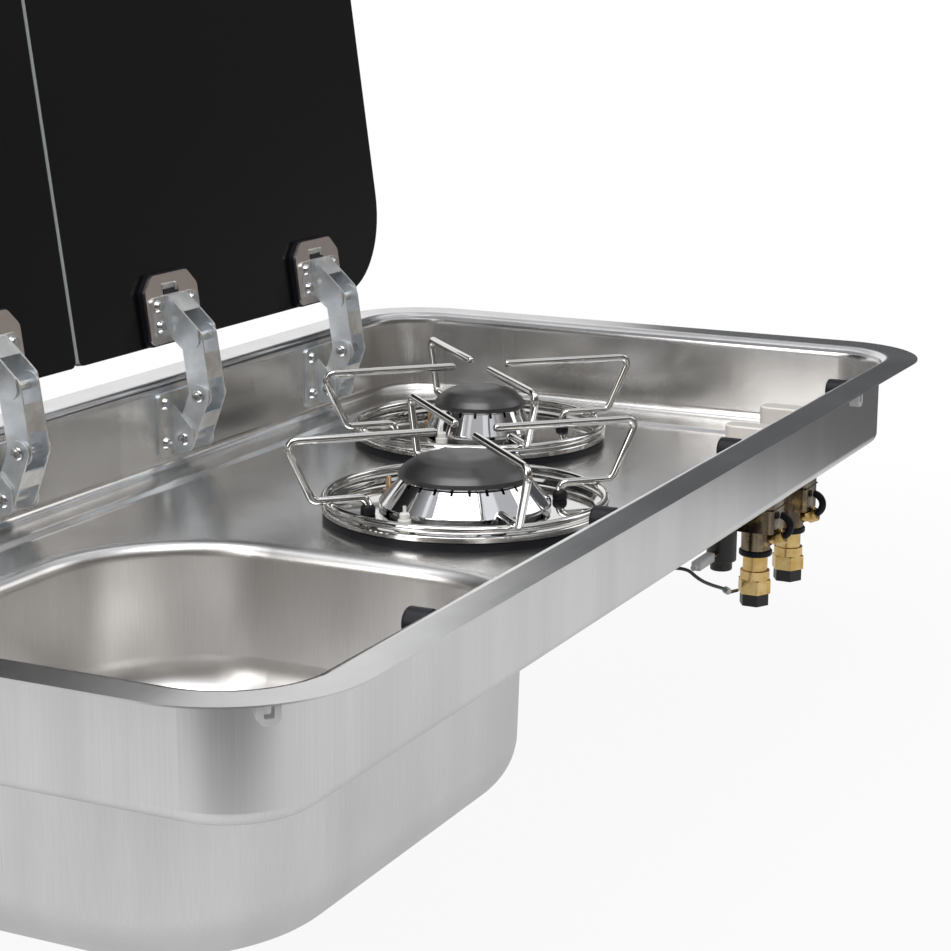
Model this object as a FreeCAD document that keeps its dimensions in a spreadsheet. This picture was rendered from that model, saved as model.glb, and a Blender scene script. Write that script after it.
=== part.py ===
import FreeCAD, Part
import math
import os
import re

import Sketcher
from FreeCAD import Placement, Rotation, Vector

# Hob and sink combo for a worktop cut-out: pressed steel deck with a bowl, two gas burners and two
# folding glass lids. Millimetres, X along the unit, Y to the lid hinges, Z up.
# The origin is the centre of the cut-out, level with the underside of the rim.

doc = FreeCAD.newDocument("hob_and_sink")
sheet = doc.addObject("Spreadsheet::Sheet", "sizes")

SIZES = {
    # pressed deck
    "unit_length": 890, "unit_width": 440, "rim_corner": 65, "rim_flat": 18, "rim_bend": 8, "sheet": 0.8,
    "ledge_drop": 57.5, "foot_bend": 6, "ledge_lap": 3.5, "ledge_left": 3, "ledge_front": 3,
    "ledge_right": 32, "ledge_back": 14, "recess_step": 2.5, "recess_run": 5, "recess_bend": 4,
    "recess_flat": 4, "recess_corner": 30,
    # bowl
    "bowl_shift": 2.25, "bowl_length": 366, "bowl_width": 302, "bowl_corner": 100,
    "bowl_lip": 3, "bowl_bend": 8, "bowl_draft": 3, "bowl_depth": 95, "bowl_foot": 30,
    # waste and plug
    "waste_tube": 22, "waste_flange": 34, "waste_sheet": 1.5, "waste_cup": 14, "waste_tail": 24,
    "waste_nut_radius": 33, "waste_nut_height": 9, "nut_notch": 2.5, "nut_notch_width": 8,
    "elbow_radius": 27, "elbow_height": 40, "elbow_wall": 3, "elbow_round": 4,
    "spigot_radius": 12.5, "spigot_length": 40, "spigot_bore": 10, "spigot_collar": 16, "collar_length": 2,
    "plug_height": 11, "plug_taper": 2, "plug_neck": 4, "plug_pull": 8, "plug_pull_height": 12,
    "strainer_hole": 3.2, "strainer_pitch": 11, "strainer_holes": 6, "edge_round": 1,
    # burners
    "small_burner_end": 138, "small_burner_back": 137, "burner_pitch": 196, "large_burner_front": 165,
    "large_cap": 40.5, "small_cap": 31, "large_cone": 52, "small_cone": 37,
    "dish_radius": 86.5, "dish_floor": 79, "dish_rise": 3, "dish_skirt": 2.5, "dish_sheet": 1,
    "gasket_height": 4, "gasket_outer": 86, "gasket_inner": 68,
    "burner_flange": 2, "flange_step": 6, "cup_step": 8, "cup_wall": 4, "cup_depth": 33, "cup_round": 3,
    "cone_foot": 2, "cone_height": 17, "cone_wall": 9, "crown_wall": 6, "crown_step": 1.5, "crown_band": 6.5, "crown_rim": 0.8,
    "port_width": 1.8, "port_depth": 3.4, "large_ports": 24, "small_ports": 18,
    "cap_edge": 2.7, "cap_dome": 11, "cap_skirt": 4.3, "cap_wall": 4, "seat_gap": 0.2, "fit_gap": 0.3,
    "probe_gap": 5, "ceramic_radius": 3, "ceramic_height": 7, "tip_radius": 1, "tip_height": 4,
    "probe_flange": 4, "probe_flange_height": 3, "probe_radius": 1.6, "probe_height": 11, "probe_tail": 12,
    "electrode_angle": 168, "probe_angle": 82,
    # pan supports
    "wire_radius": 2.5, "support_drop": 8, "finger_tip": 20, "finger_reach": 112, "leg_place": 95,
    "wire_bend": 5, "ring_radius": 84.5, "ring_height": 6.5, "weld": 1.5, "foot_place": 61,
    "foot_radius": 4.5, "foot_height": 6, "foot_sole": 2.5,
    # knobs and valves
    "knob_end": 102, "knob_pitch": 67, "knob_front": 37, "knob_length": 45, "knob_width": 16,
    "knob_height": 25, "knob_drop": 24, "knob_edge": 1.5, "knob_bore": 18, "spindle_radius": 4,
    "collar_radius": 6, "collar_height": 10, "collar_drop": 0.5, "run_gap": 0.05, "neck_radius": 8,
    "neck_rise": 2.5, "neck_bore": 20, "spindle_tail": 16, "valve_width": 24, "valve_depth": 30,
    "valve_height": 31.2, "valve_edge": 3, "valve_tail": 17, "valve_tail_radius": 9.5, "hole_gap": 0.2,
    # gas pipes and inlets
    "outlet_drop": 18, "boss_radius": 6, "boss_length": 6, "pipe_radius": 4, "pipe_wall": 1,
    "pipe_bend": 20, "pipe_run": 44, "pipe_nut": 15, "pipe_nut_length": 12,
    "fitting_radius": 8, "fitting_height": 10, "shank_radius": 6.5, "shank_length": 20,
    "inlet_nut": 19, "inlet_nut_height": 15, "inlet_nut_collar": 6, "inlet_cap": 17, "inlet_cap_height": 8,
    # igniter
    "igniter_side": 34, "igniter_back": 11, "igniter_radius": 9.5, "igniter_height": 51.2,
    "igniter_foot": 7, "igniter_foot_height": 6, "lead_radius": 1.1,
    # bumpers and tabs
    "bumper_radius": 7, "bumper_length": 12, "bumper_drop": 8.5, "bumper_edge": 1.5,
    "bumper_stem": 3, "bumper_head": 5, "bumper_head_height": 3, "bumper_slack": 1.3,
    "hob_bumper_inner": 108, "hob_bumper_outer": 311, "sink_bumper_inner": -77, "sink_bumper_outer": -280,
    "tab_width": 9.5, "tab_height": 8, "tab_depth": 6, "tab_wall": 2.6, "tab_round": 3.8, "tab_inset": 4,
    "tab_end": 157,
    # lids
    "lid_thickness": 5, "lid_depth": 374, "lid_margin": 33, "lid_split": 14, "lid_gap": 3,
    "lid_corner": 68, "lid_split_corner": 5, "lid_lean": 8, "lid_out": 6, "lid_rise": 22,
    # hinges
    "hob_hinge_inner": 118, "hob_hinge_outer": 306, "sink_hinge_inner": -72, "sink_hinge_outer": -312,
    "pivot_inset": 9, "pivot_drop": 39, "knee_inset": 20, "knee_drop": 10, "top_along": 2, "top_out": 21,
    "arm_half": 7.2, "link_half": 8, "channel": 22, "steel": 1.5, "side_gap": 0.3, "pin_radius": 3,
    "web_trim": 10, "ear_gap": 0.3, "ear_half": 7,
    "wall_plate_left": 29, "wall_plate_top": 8, "wall_plate_bottom": 50, "wall_plate_corner": 4,
    "wall_screw_in": 21, "wall_screw_high": 15, "wall_screw_low": 41,
    "pad_height": 3.5, "pad_margin": 1, "cover_width": 60, "cover_height": 45, "cover_chamfer": 10,
    "cover_round": 5, "cover_foot": 4, "cover_steel": 1.5, "base_half": 26, "base_low": 6, "base_high": 31,
    "base_corner": 4,
    "screw_radius": 2.5, "screw_head": 4.5, "screw_dome": 2.5, "screw_gap": 0.1, "nut_radius": 5.5,
    "nut_height": 3, "lid_screw_side": 19.5, "lid_screw_low": 12, "lid_screw_high": 25,
    "bracket_web_end": 20, "bracket_web_rise": 16, "bracket_top_rise": 9, "bracket_half": 6.5,
}

for row, (alias, value) in enumerate(SIZES.items(), 1):
    sheet.set("A%d" % row, alias)
    sheet.set("B%d" % row, str(value))
    sheet.setAlias("B%d" % row, alias)
doc.recompute()

# Places worked out from the sheet, as expressions
FLOOR = "(-ledge_drop - recess_step)"
UNDERSIDE = "(-ledge_drop - recess_step - sheet)"
WALL_Y = "(unit_width/2 - rim_flat - rim_bend)"
DISH_TOP = "(-ledge_drop - recess_step + gasket_height + dish_sheet)"
FLANGE_TOP = "(-ledge_drop - recess_step + gasket_height + dish_sheet + burner_flange)"
CROWN_TOP = "(-ledge_drop - recess_step + gasket_height + dish_sheet + burner_flange + cone_height)"
BOWL_BOTTOM = "(-ledge_drop - recess_step - bowl_depth)"
KNOB_BOTTOM = "(-knob_drop - knob_height)"
NECK_TOP = "(-ledge_drop - recess_step + neck_rise)"
OUTLET_Z = "(-ledge_drop - recess_step - outlet_drop)"
VALVE_BLOCK = "(-ledge_drop - recess_step - sheet - valve_height)"
VALVE_BOTTOM = "(-ledge_drop - recess_step - sheet - valve_height - valve_tail)"
RING_Z = "(-ledge_drop - recess_step + gasket_height + dish_sheet + ring_height)"
PIVOT = ("(unit_width/2 - rim_flat - rim_bend - pivot_inset)", "(-pivot_drop)")
KNEE = ("(unit_width/2 - rim_flat - rim_bend - knee_inset)", "(-knee_drop)")
LID_EDGE = ("(unit_width/2 - rim_flat - rim_bend + lid_out)", "lid_rise")
TOP = (LID_EDGE[0] + " + top_along*sin(lid_lean) - top_out*cos(lid_lean)",
       LID_EDGE[1] + " + top_along*cos(lid_lean) + top_out*sin(lid_lean)")
BASE_LEVEL = "(pad_height + cover_steel)"
WALL_X = "(unit_length/2 - rim_flat - rim_bend)"
RECESS_LEFT = "(-unit_length/2 + rim_flat + rim_bend + foot_bend + ledge_left)"
RECESS_FRONT = "(-unit_width/2 + rim_flat + rim_bend + foot_bend + ledge_front)"
RECESS_BACK = "(unit_width/2 - rim_flat - rim_bend - foot_bend - ledge_back)"

# Places of the fittings, set off from the walls. The bowl lies midway between the recess's left edge
# and the near dish, a little to the left, with a third of the spare width in front of it.
PLACES = {
    "small_x": "(%s - small_burner_end)" % WALL_X,
    "large_x": "(%s - small_burner_end - burner_pitch)" % WALL_X,
    "small_y": "(%s - small_burner_back)" % WALL_Y,
    "large_y": "(large_burner_front - %s)" % WALL_Y,
    "small_knob_x": "(%s - knob_end)" % WALL_X,
    "large_knob_x": "(%s - knob_end - knob_pitch)" % WALL_X,
    "knob_y": "(knob_front - %s)" % WALL_Y,
    "igniter_x": "(%s - knob_end - knob_pitch - igniter_side)" % WALL_X,
    "igniter_y": "(knob_front + igniter_back - %s)" % WALL_Y,
    "bowl_x": "((%s + %s - small_burner_end - burner_pitch - dish_radius)/2 - bowl_shift)"
              % (RECESS_LEFT, WALL_X),
    "bowl_y": "((2*%s + %s + bowl_width/2)/3)" % (RECESS_FRONT, RECESS_BACK),
    "tab_x": "(%s - tab_end)" % WALL_X,
}
NAME = re.compile(r"\b([a-z_][a-z_0-9]*)\b(?!\s*\()")


def tied(text):
    """The expression with every place written out and every name pointed at the sheet."""
    text = NAME.sub(lambda found: PLACES.get(found.group(1), found.group(1)), str(text))
    return NAME.sub(r"sizes.\1", text)


def size(text):
    """The expression's present value."""
    value = sheet.evalExpression(tied(text))
    return float(getattr(value, "Value", value))


def bind(thing, **properties):
    for name, text in properties.items():
        thing.setExpression(name.replace("__", "."), tied(text))


def place(thing, at, turn=None):
    """Puts a body at (x, y, z), turned about an axis by an angle, all from the sheet."""
    axis, angle = turn if turn else (Vector(0, 0, 1), "0")
    thing.Placement = Placement(Vector(*[size(v) for v in at]), Rotation(axis, size(angle)))
    for letter, text in zip("xyz", at):
        thing.setExpression(".Placement.Base." + letter, tied(text))
    if turn:
        thing.setExpression(".Placement.Rotation.Angle", tied(angle))


def new_body(label):
    body = doc.addObject("PartDesign::Body", label)
    body.Label = label
    return body


def new_sketch(body, role, offset="0"):
    sketch = body.newObject("Sketcher::SketchObject", body.Name + "_sketch")
    plane = [o for o in body.Origin.OriginFeatures if o.Role == role][0]
    sketch.AttachmentSupport = [(plane, "")]
    sketch.MapMode = "FlatFace"
    sketch.setExpression(".AttachmentOffset.Base.z", tied(offset))
    return sketch


def fix_point(sketch, geometry, end, x, y):
    for kind, text in (("DistanceX", x), ("DistanceY", y)):
        index = sketch.addConstraint(Sketcher.Constraint(kind, -1, 1, geometry, end, size(text)))
        sketch.setExpression("Constraints[%d]" % index, tied(text))


def add_outline(sketch, corners):
    """A closed outline of straight edges; each corner is (x, y) or (x, y, radius)."""
    corners = [c if len(c) == 3 else (c[0], c[1], 0) for c in corners]
    points = [Vector(size(x), size(y), 0) for x, y, _ in corners]
    radii = [size(r) for _, _, r in corners]
    count = len(points)
    trims = []
    for i, point in enumerate(points):
        back = (points[i - 1] - point).normalize()
        ahead = (points[(i + 1) % count] - point).normalize()
        reach = radii[i] / math.tan(back.getAngle(ahead) / 2)
        trims.append((point + back * reach, point + ahead * reach))
    lines = [sketch.addGeometry(Part.LineSegment(trims[i][1], trims[(i + 1) % count][0]), False)
             for i in range(count)]
    for i, point in enumerate(points):
        before, after = lines[i - 1], lines[i]
        if radii[i] > 0:
            back = (points[i - 1] - point).normalize()
            ahead = (points[(i + 1) % count] - point).normalize()
            half = back.getAngle(ahead) / 2
            centre = point + (back + ahead).normalize() * (radii[i] / math.sin(half))
            middle = centre + (point - centre).normalize() * radii[i]
            first = 1 if ahead.cross(back).z > 0 else 2
            ends = trims[i] if first == 1 else trims[i][::-1]
            arc = sketch.addGeometry(Part.Arc(ends[0], middle, ends[1]), False)
            sketch.addConstraint(Sketcher.Constraint("Tangent", before, 2, arc, first))
            sketch.addConstraint(Sketcher.Constraint("Tangent", arc, 3 - first, after, 1))
            index = sketch.addConstraint(Sketcher.Constraint("Radius", arc, radii[i]))
            sketch.setExpression("Constraints[%d]" % index, tied(corners[i][2]))
            vertex = sketch.addGeometry(Part.Point(point), True)
            sketch.addConstraint(Sketcher.Constraint("PointOnObject", vertex, 1, before))
            sketch.addConstraint(Sketcher.Constraint("PointOnObject", vertex, 1, after))
            fix_point(sketch, vertex, 1, corners[i][0], corners[i][1])
        else:
            sketch.addConstraint(Sketcher.Constraint("Coincident", before, 2, after, 1))
            fix_point(sketch, after, 1, corners[i][0], corners[i][1])


def add_circle(sketch, x, y, radius):
    centre = Vector(size(x), size(y), 0)
    circle = sketch.addGeometry(Part.Circle(centre, Vector(0, 0, 1), size(radius)), False)
    fix_point(sketch, circle, 3, x, y)
    index = sketch.addConstraint(Sketcher.Constraint("Radius", circle, size(radius)))
    sketch.setExpression("Constraints[%d]" % index, tied(radius))


def box_corners(x_low, x_high, y_low, y_high, radius=0):
    return [(x_low, y_low, radius), (x_high, y_low, radius),
            (x_high, y_high, radius), (x_low, y_high, radius)]


def feature(body, kind, sketch, length, midplane=False, backwards=False):
    result = body.newObject("PartDesign::" + kind, body.Name + "_" + kind.lower())
    result.Profile = sketch
    result.Midplane = midplane
    result.Reversed = backwards
    bind(result, Length=length)
    return result


def pad(body, role, corners, length, offset="0", midplane=False, backwards=False, holes=()):
    sketch = new_sketch(body, role, offset)
    add_outline(sketch, corners)
    for x, y, radius in holes:
        add_circle(sketch, x, y, radius)
    return feature(body, "Pad", sketch, length, midplane, backwards)


def pocket(body, role, corners, length, offset="0", midplane=False, backwards=False):
    sketch = new_sketch(body, role, offset)
    add_outline(sketch, corners)
    return feature(body, "Pocket", sketch, length, midplane, backwards)


def round_feature(body, kind, role, circles, length, offset="0", midplane=False, backwards=False):
    sketch = new_sketch(body, role, offset)
    for x, y, radius in circles:
        add_circle(sketch, x, y, radius)
    return feature(body, kind, sketch, length, midplane, backwards)


def hex_corners(x, y, flats):
    """Six corners of a hexagon with the given width across flats."""
    across = "(%s)/(2*cos(30))" % flats
    return [("%s + %s*cos(%d)" % (x, across, angle), "%s + %s*sin(%d)" % (y, across, angle))
            for angle in range(30, 390, 60)]


def turned(label, corners, at, turn=None):
    """A body turned about its own Z axis from (radius, height) corners."""
    body = new_body(label)
    sketch = new_sketch(body, "XZ_Plane")
    add_outline(sketch, corners)
    revolution = body.newObject("PartDesign::Revolution", label + "_turn")
    revolution.Profile = sketch
    revolution.ReferenceAxis = (sketch, ["V_Axis"])
    revolution.Angle = 360
    place(body, at, turn)
    return body


def repeat_around(body, original, count):
    pattern = body.newObject("PartDesign::PolarPattern", body.Name + "_pattern")
    pattern.Originals = [original]
    pattern.Axis = ([o for o in body.Origin.OriginFeatures if o.Role == "Z_Axis"][0], [""])
    pattern.Angle = 360
    bind(pattern, Occurrences=count)
    body.Tip = pattern


def group(label, members):
    """Separate solids of one kind under one name."""
    compound = doc.addObject("Part::Compound", label)
    compound.Label = label
    compound.Links = members
    return compound


def shaped(label, shape):
    """A piece whose shape is set directly."""
    thing = doc.addObject("Part::Feature", label)
    thing.Label = label
    thing.Shape = shape
    thing.Placement = Placement()
    return thing


# Sheet metal and wire forms

def corner_path(points, radii):
    """Edges through (across, height) points in the XZ plane, rounded at the inner points."""
    places = [Vector(x, 0, z) for x, z in points]
    edges = []
    start = places[0]
    for i in range(1, len(places)):
        end = places[i]
        if i < len(places) - 1 and radii[i] > 0:
            back = (places[i - 1] - end).normalize()
            ahead = (places[i + 1] - end).normalize()
            half = back.getAngle(ahead) / 2
            reach = radii[i] / math.tan(half)
            centre = end + (back + ahead).normalize() * (radii[i] / math.sin(half))
            middle = centre + (end - centre).normalize() * radii[i]
            edges.append(Part.LineSegment(start, end + back * reach).toShape())
            edges.append(Part.Arc(end + back * reach, middle, end + ahead * reach).toShape())
            start = end + ahead * reach
        else:
            edges.append(Part.LineSegment(start, end).toShape())
            start = end
    return edges


def strip_face(points, radii, thickness):
    """Section of a bent sheet: its top line, and a line one thickness below."""
    normals = []
    for (x0, z0), (x1, z1) in zip(points, points[1:]):
        run = math.hypot(x1 - x0, z1 - z0)
        normals.append(((z1 - z0) / run, -(x1 - x0) / run))
    lower = [(points[0][0] + normals[0][0] * thickness, points[0][1] + normals[0][1] * thickness)]
    lower_radii = [0]
    for i in range(1, len(points) - 1):
        (ax, az), (bx, bz) = normals[i - 1], normals[i]
        share = thickness / (1 + ax * bx + az * bz)
        lower.append((points[i][0] + (ax + bx) * share, points[i][1] + (az + bz) * share))
        turns_up = ax * bz - az * bx > 0
        lower_radii.append(radii[i] + (thickness if turns_up else -thickness))
    lower.append((points[-1][0] + normals[-1][0] * thickness, points[-1][1] + normals[-1][1] * thickness))
    lower_radii.append(0)
    caps = [Part.LineSegment(Vector(a[0], 0, a[1]), Vector(b[0], 0, b[1])).toShape()
            for a, b in ((points[0], lower[0]), (points[-1], lower[-1]))]
    edges = corner_path(points, radii) + corner_path(lower, lower_radii) + caps
    return Part.Face(Part.Wire(Part.__sortEdges__(edges)))


def frame_ring(face, half_x, half_y, corner, centre):
    """Carries a section (distance in from the edge, height) round a rounded rectangle."""
    section = face.mirror(Vector(0, 0, 0), Vector(1, 0, 0))
    pieces = []
    for quarter in range(4):
        out, along = (half_x, half_y) if quarter % 2 == 0 else (half_y, half_x)
        side = section.translated(Vector(out, corner - along, 0))
        side = side.extrude(Vector(0, 2 * (along - corner), 0))
        turn = section.translated(Vector(out, along - corner, 0))
        turn = turn.revolve(Vector(out - corner, along - corner, 0), Vector(0, 0, 1), 90)
        for piece in (side, turn):
            piece.rotate(Vector(0, 0, 0), Vector(0, 0, 1), 90 * quarter)
            piece.translate(Vector(centre[0], centre[1], 0))
            pieces.append(piece)
    return pieces[0].multiFuse(pieces[1:])


def rounded_plate(half_x, half_y, corner, centre, z_low, z_high):
    """A flat plate with rounded corners."""
    block = Part.makeBox(2 * half_x, 2 * half_y, z_high - z_low,
                         Vector(centre[0] - half_x, centre[1] - half_y, z_low))
    upright = [e for e in block.Edges if abs(e.Vertexes[0].Z - e.Vertexes[1].Z) > (z_high - z_low) / 2]
    return block.makeFillet(corner, upright)


def drill(x, y, radius, z_low, z_high):
    return Part.makeCylinder(radius, z_high - z_low, Vector(x, y, z_low))


def tube_along(points, radii, radius):
    """A round bar along straight runs joined by arcs, through points in space."""
    edges = []
    start = points[0]
    for i in range(1, len(points)):
        end = points[i]
        if i < len(points) - 1:
            back = (points[i - 1] - end).normalize()
            ahead = (points[i + 1] - end).normalize()
            half = back.getAngle(ahead) / 2
            reach = radii[i] / math.tan(half)
            centre = end + (back + ahead).normalize() * (radii[i] / math.sin(half))
            middle = centre + (end - centre).normalize() * radii[i]
            edges.append(Part.LineSegment(start, end + back * reach).toShape())
            edges.append(Part.Arc(end + back * reach, middle, end + ahead * reach).toShape())
            start = end + ahead * reach
        else:
            edges.append(Part.LineSegment(start, end).toShape())
    path = Part.Wire(edges)
    direction = points[1] - points[0]
    section = Part.Wire(Part.Circle(points[0], direction, radius).toShape())
    bar = path.makePipeShell([section], True, False)
    expected = math.pi * radius ** 2 * path.Length
    if abs(bar.Volume - expected) > 0.02 * expected:
        raise ValueError("bar volume %.1f, expected %.1f" % (bar.Volume, expected))
    return bar


# Deck pan and bowl

def make_deck_pan():
    half_x, half_y = size("unit_length/2"), size("unit_width/2")
    sheet_t, corner = size("sheet"), size("rim_corner")
    foot_end = size("rim_flat + rim_bend + foot_bend")
    ledge_z, floor_z = size("-ledge_drop"), size(FLOOR)
    lap_end = foot_end + size("ledge_lap")
    wall = size("rim_flat + rim_bend")
    section = strip_face([(0, sheet_t), (wall, sheet_t), (wall, ledge_z), (lap_end, ledge_z)],
                         [0, size("rim_bend"), size("foot_bend"), 0], sheet_t)
    rim = frame_ring(section, half_x, half_y, corner, (0, 0))

    left, right = -half_x + foot_end + size("ledge_left"), half_x - foot_end - size("ledge_right")
    front, back = -half_y + foot_end + size("ledge_front"), half_y - foot_end - size("ledge_back")
    centre = ((left + right) / 2, (front + back) / 2)
    recess_x, recess_y, recess_corner = (right - left) / 2, (back - front) / 2, size("recess_corner")
    flat, run = size("recess_flat"), size("recess_run")
    step_end = 2 * flat + run
    section = strip_face([(0, ledge_z), (flat, ledge_z), (flat + run, floor_z), (step_end, floor_z)],
                         [0, size("recess_bend"), size("recess_bend"), 0], sheet_t)
    step = frame_ring(section, recess_x, recess_y, recess_corner, centre)

    overlap = flat / 4
    ledge = rounded_plate(half_x - foot_end - overlap, half_y - foot_end - overlap,
                          corner - foot_end - overlap, (0, 0), ledge_z - sheet_t, ledge_z)
    ledge = ledge.cut(rounded_plate(recess_x - overlap, recess_y - overlap, recess_corner - overlap, centre,
                                    ledge_z - 2 * sheet_t, ledge_z + sheet_t))
    inset = step_end - overlap
    floor = rounded_plate(recess_x - inset, recess_y - inset, recess_corner - inset, centre,
                          floor_z - sheet_t, floor_z)
    pan = rim.multiFuse([ledge, step, floor]).removeSplitter()

    low, high = floor_z - 2 * sheet_t, floor_z + sheet_t
    cuts = [rounded_plate(size("bowl_length/2"), size("bowl_width/2"), size("bowl_corner"),
                          (size("bowl_x"), size("bowl_y")), low, high)]
    for name in ("large", "small"):
        cuts.append(drill(size(name + "_x"), size(name + "_y"),
                          size(name + "_cap - cup_step + fit_gap + hole_gap"), low, high))
        for angle in ("electrode_angle", "probe_angle"):
            spot = "(%s_cone + probe_gap)" % name
            cuts.append(drill(size("%s_x + %s*cos(%s)" % (name, spot, angle)),
                              size("%s_y + %s*sin(%s)" % (name, spot, angle)),
                              size("ceramic_radius + hole_gap"), low, high))
        cuts.append(drill(size(name + "_knob_x"), size("knob_y"), size("neck_radius + hole_gap"), low, high))
    wall_y, past = size(WALL_Y), 2 * sheet_t
    for x in BUMPERS:
        cuts.append(Part.makeCylinder(size("bumper_stem + hole_gap"), 2 * past,
                                      Vector(size(x), -wall_y - past, -size("bumper_drop")), Vector(0, 1, 0)))
    for x in ALL_HINGES:
        for height in WALL_SCREWS:
            cuts.append(Part.makeCylinder(size("screw_radius + screw_gap"), 2 * past,
                                          Vector(size(x + " - wall_screw_in"), wall_y - past, -size(height)),
                                          Vector(0, 1, 0)))
    return shaped("deck_pan", pan.cut(cuts))


def make_sink_bowl():
    half_x, half_y, corner = size("bowl_length/2"), size("bowl_width/2"), size("bowl_corner")
    centre = (size("bowl_x"), size("bowl_y"))
    top, bottom, sheet_t = size(FLOOR), size(BOWL_BOTTOM), size("sheet")
    wall = size("bowl_lip + bowl_bend")
    wall_foot = wall + size("bowl_draft")
    end = wall_foot + size("bowl_foot + bowl_lip")
    section = strip_face([(0, top), (wall, top), (wall_foot, bottom), (end, bottom)],
                         [0, size("bowl_bend"), size("bowl_foot"), 0], sheet_t)
    bowl = frame_ring(section, half_x, half_y, corner, centre)
    inset = end - size("bowl_lip/2")
    base = rounded_plate(half_x - inset, half_y - inset, corner - inset, centre, bottom - sheet_t, bottom)
    bowl = bowl.fuse(base).removeSplitter()
    hole = drill(centre[0], centre[1], size("waste_tube + hole_gap"), bottom - 2 * sheet_t, bottom + sheet_t)
    return shaped("sink_bowl", bowl.cut(hole))


# Waste and plug

def make_waste():
    at = ("bowl_x", "bowl_y", BOWL_BOTTOM)
    strainer = turned("waste_strainer", [
        ("0", "-waste_cup - waste_sheet"), ("waste_tube - waste_sheet", "-waste_cup - waste_sheet"),
        ("waste_tube - waste_sheet", "-waste_tail"), ("waste_tube", "-waste_tail"), ("waste_tube", "0"),
        ("waste_flange", "0"), ("waste_flange", "waste_sheet", "waste_sheet*0.8"),
        ("waste_tube - waste_sheet", "waste_sheet", "waste_sheet"),
        ("waste_tube - waste_sheet", "-waste_cup"), ("0", "-waste_cup")], at)
    hole = round_feature(strainer, "Pocket", "XY_Plane", [("strainer_pitch", "0", "strainer_hole")],
                         "waste_sheet*4", offset="-waste_cup + waste_sheet")
    repeat_around(strainer, hole, "strainer_holes")
    nut_bottom = "(-sheet - waste_nut_height)"
    nut = turned("waste_nut", [
        ("waste_tube + run_gap", nut_bottom), ("waste_nut_radius", nut_bottom),
        ("waste_nut_radius", "-sheet", "edge_round"), ("waste_tube + run_gap", "-sheet")], at)
    notch = pocket(nut, "XY_Plane",
                   box_corners("waste_nut_radius - nut_notch", "waste_nut_radius + nut_notch",
                               "-nut_notch_width/2", "nut_notch_width/2"),
                   "waste_nut_height", offset="-sheet - nut_notch")
    repeat_around(nut, notch, "8")

    bottom = nut_bottom + " - elbow_height"
    bore = "(waste_tube - waste_sheet)"
    elbow = turned("waste_elbow", [
        ("0", bottom), ("elbow_radius", bottom, "elbow_round"), ("elbow_radius", nut_bottom, "edge_round"),
        ("waste_tube + run_gap", nut_bottom), ("waste_tube + run_gap", "-waste_tail"), (bore, "-waste_tail"),
        (bore, bottom + " + elbow_wall", "elbow_wall"), ("0", bottom + " + elbow_wall")], at)
    level = bottom + " + spigot_collar"
    shoulder = "elbow_radius + collar_length"
    round_feature(elbow, "Pad", "YZ_Plane", [("0", level, "spigot_collar")],
                  "elbow_wall*2 + collar_length", offset="elbow_radius - elbow_wall*2")
    round_feature(elbow, "Pocket", "XY_Plane", [("0", "0", "waste_tube + run_gap")],
                  "waste_tail - sheet - waste_nut_height", offset=nut_bottom)
    round_feature(elbow, "Pad", "YZ_Plane", [("0", level, "spigot_radius")], "spigot_length", offset=shoulder)
    round_feature(elbow, "Pocket", "YZ_Plane", [("0", level, "spigot_bore")],
                  "elbow_wall*3 + collar_length + spigot_length", offset=shoulder + " + spigot_length")

    rim = "(waste_tube - waste_sheet - fit_gap)"
    floor = "(-waste_cup + fit_gap)"
    top = "(-waste_cup + plug_height)"
    plug = turned("sink_plug", [
        ("0", floor), (rim + " - plug_taper", floor, "edge_round"), (rim, top, "edge_round"),
        ("plug_neck + plug_taper", top, "plug_taper"),
        ("plug_neck", top + " + plug_pull_height/2", "edge_round"),
        ("plug_pull", top + " + plug_pull_height*0.8", "edge_round"), ("0", top + " + plug_pull_height")], at)
    return [strainer, nut, elbow, plug]


# Burners

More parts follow.
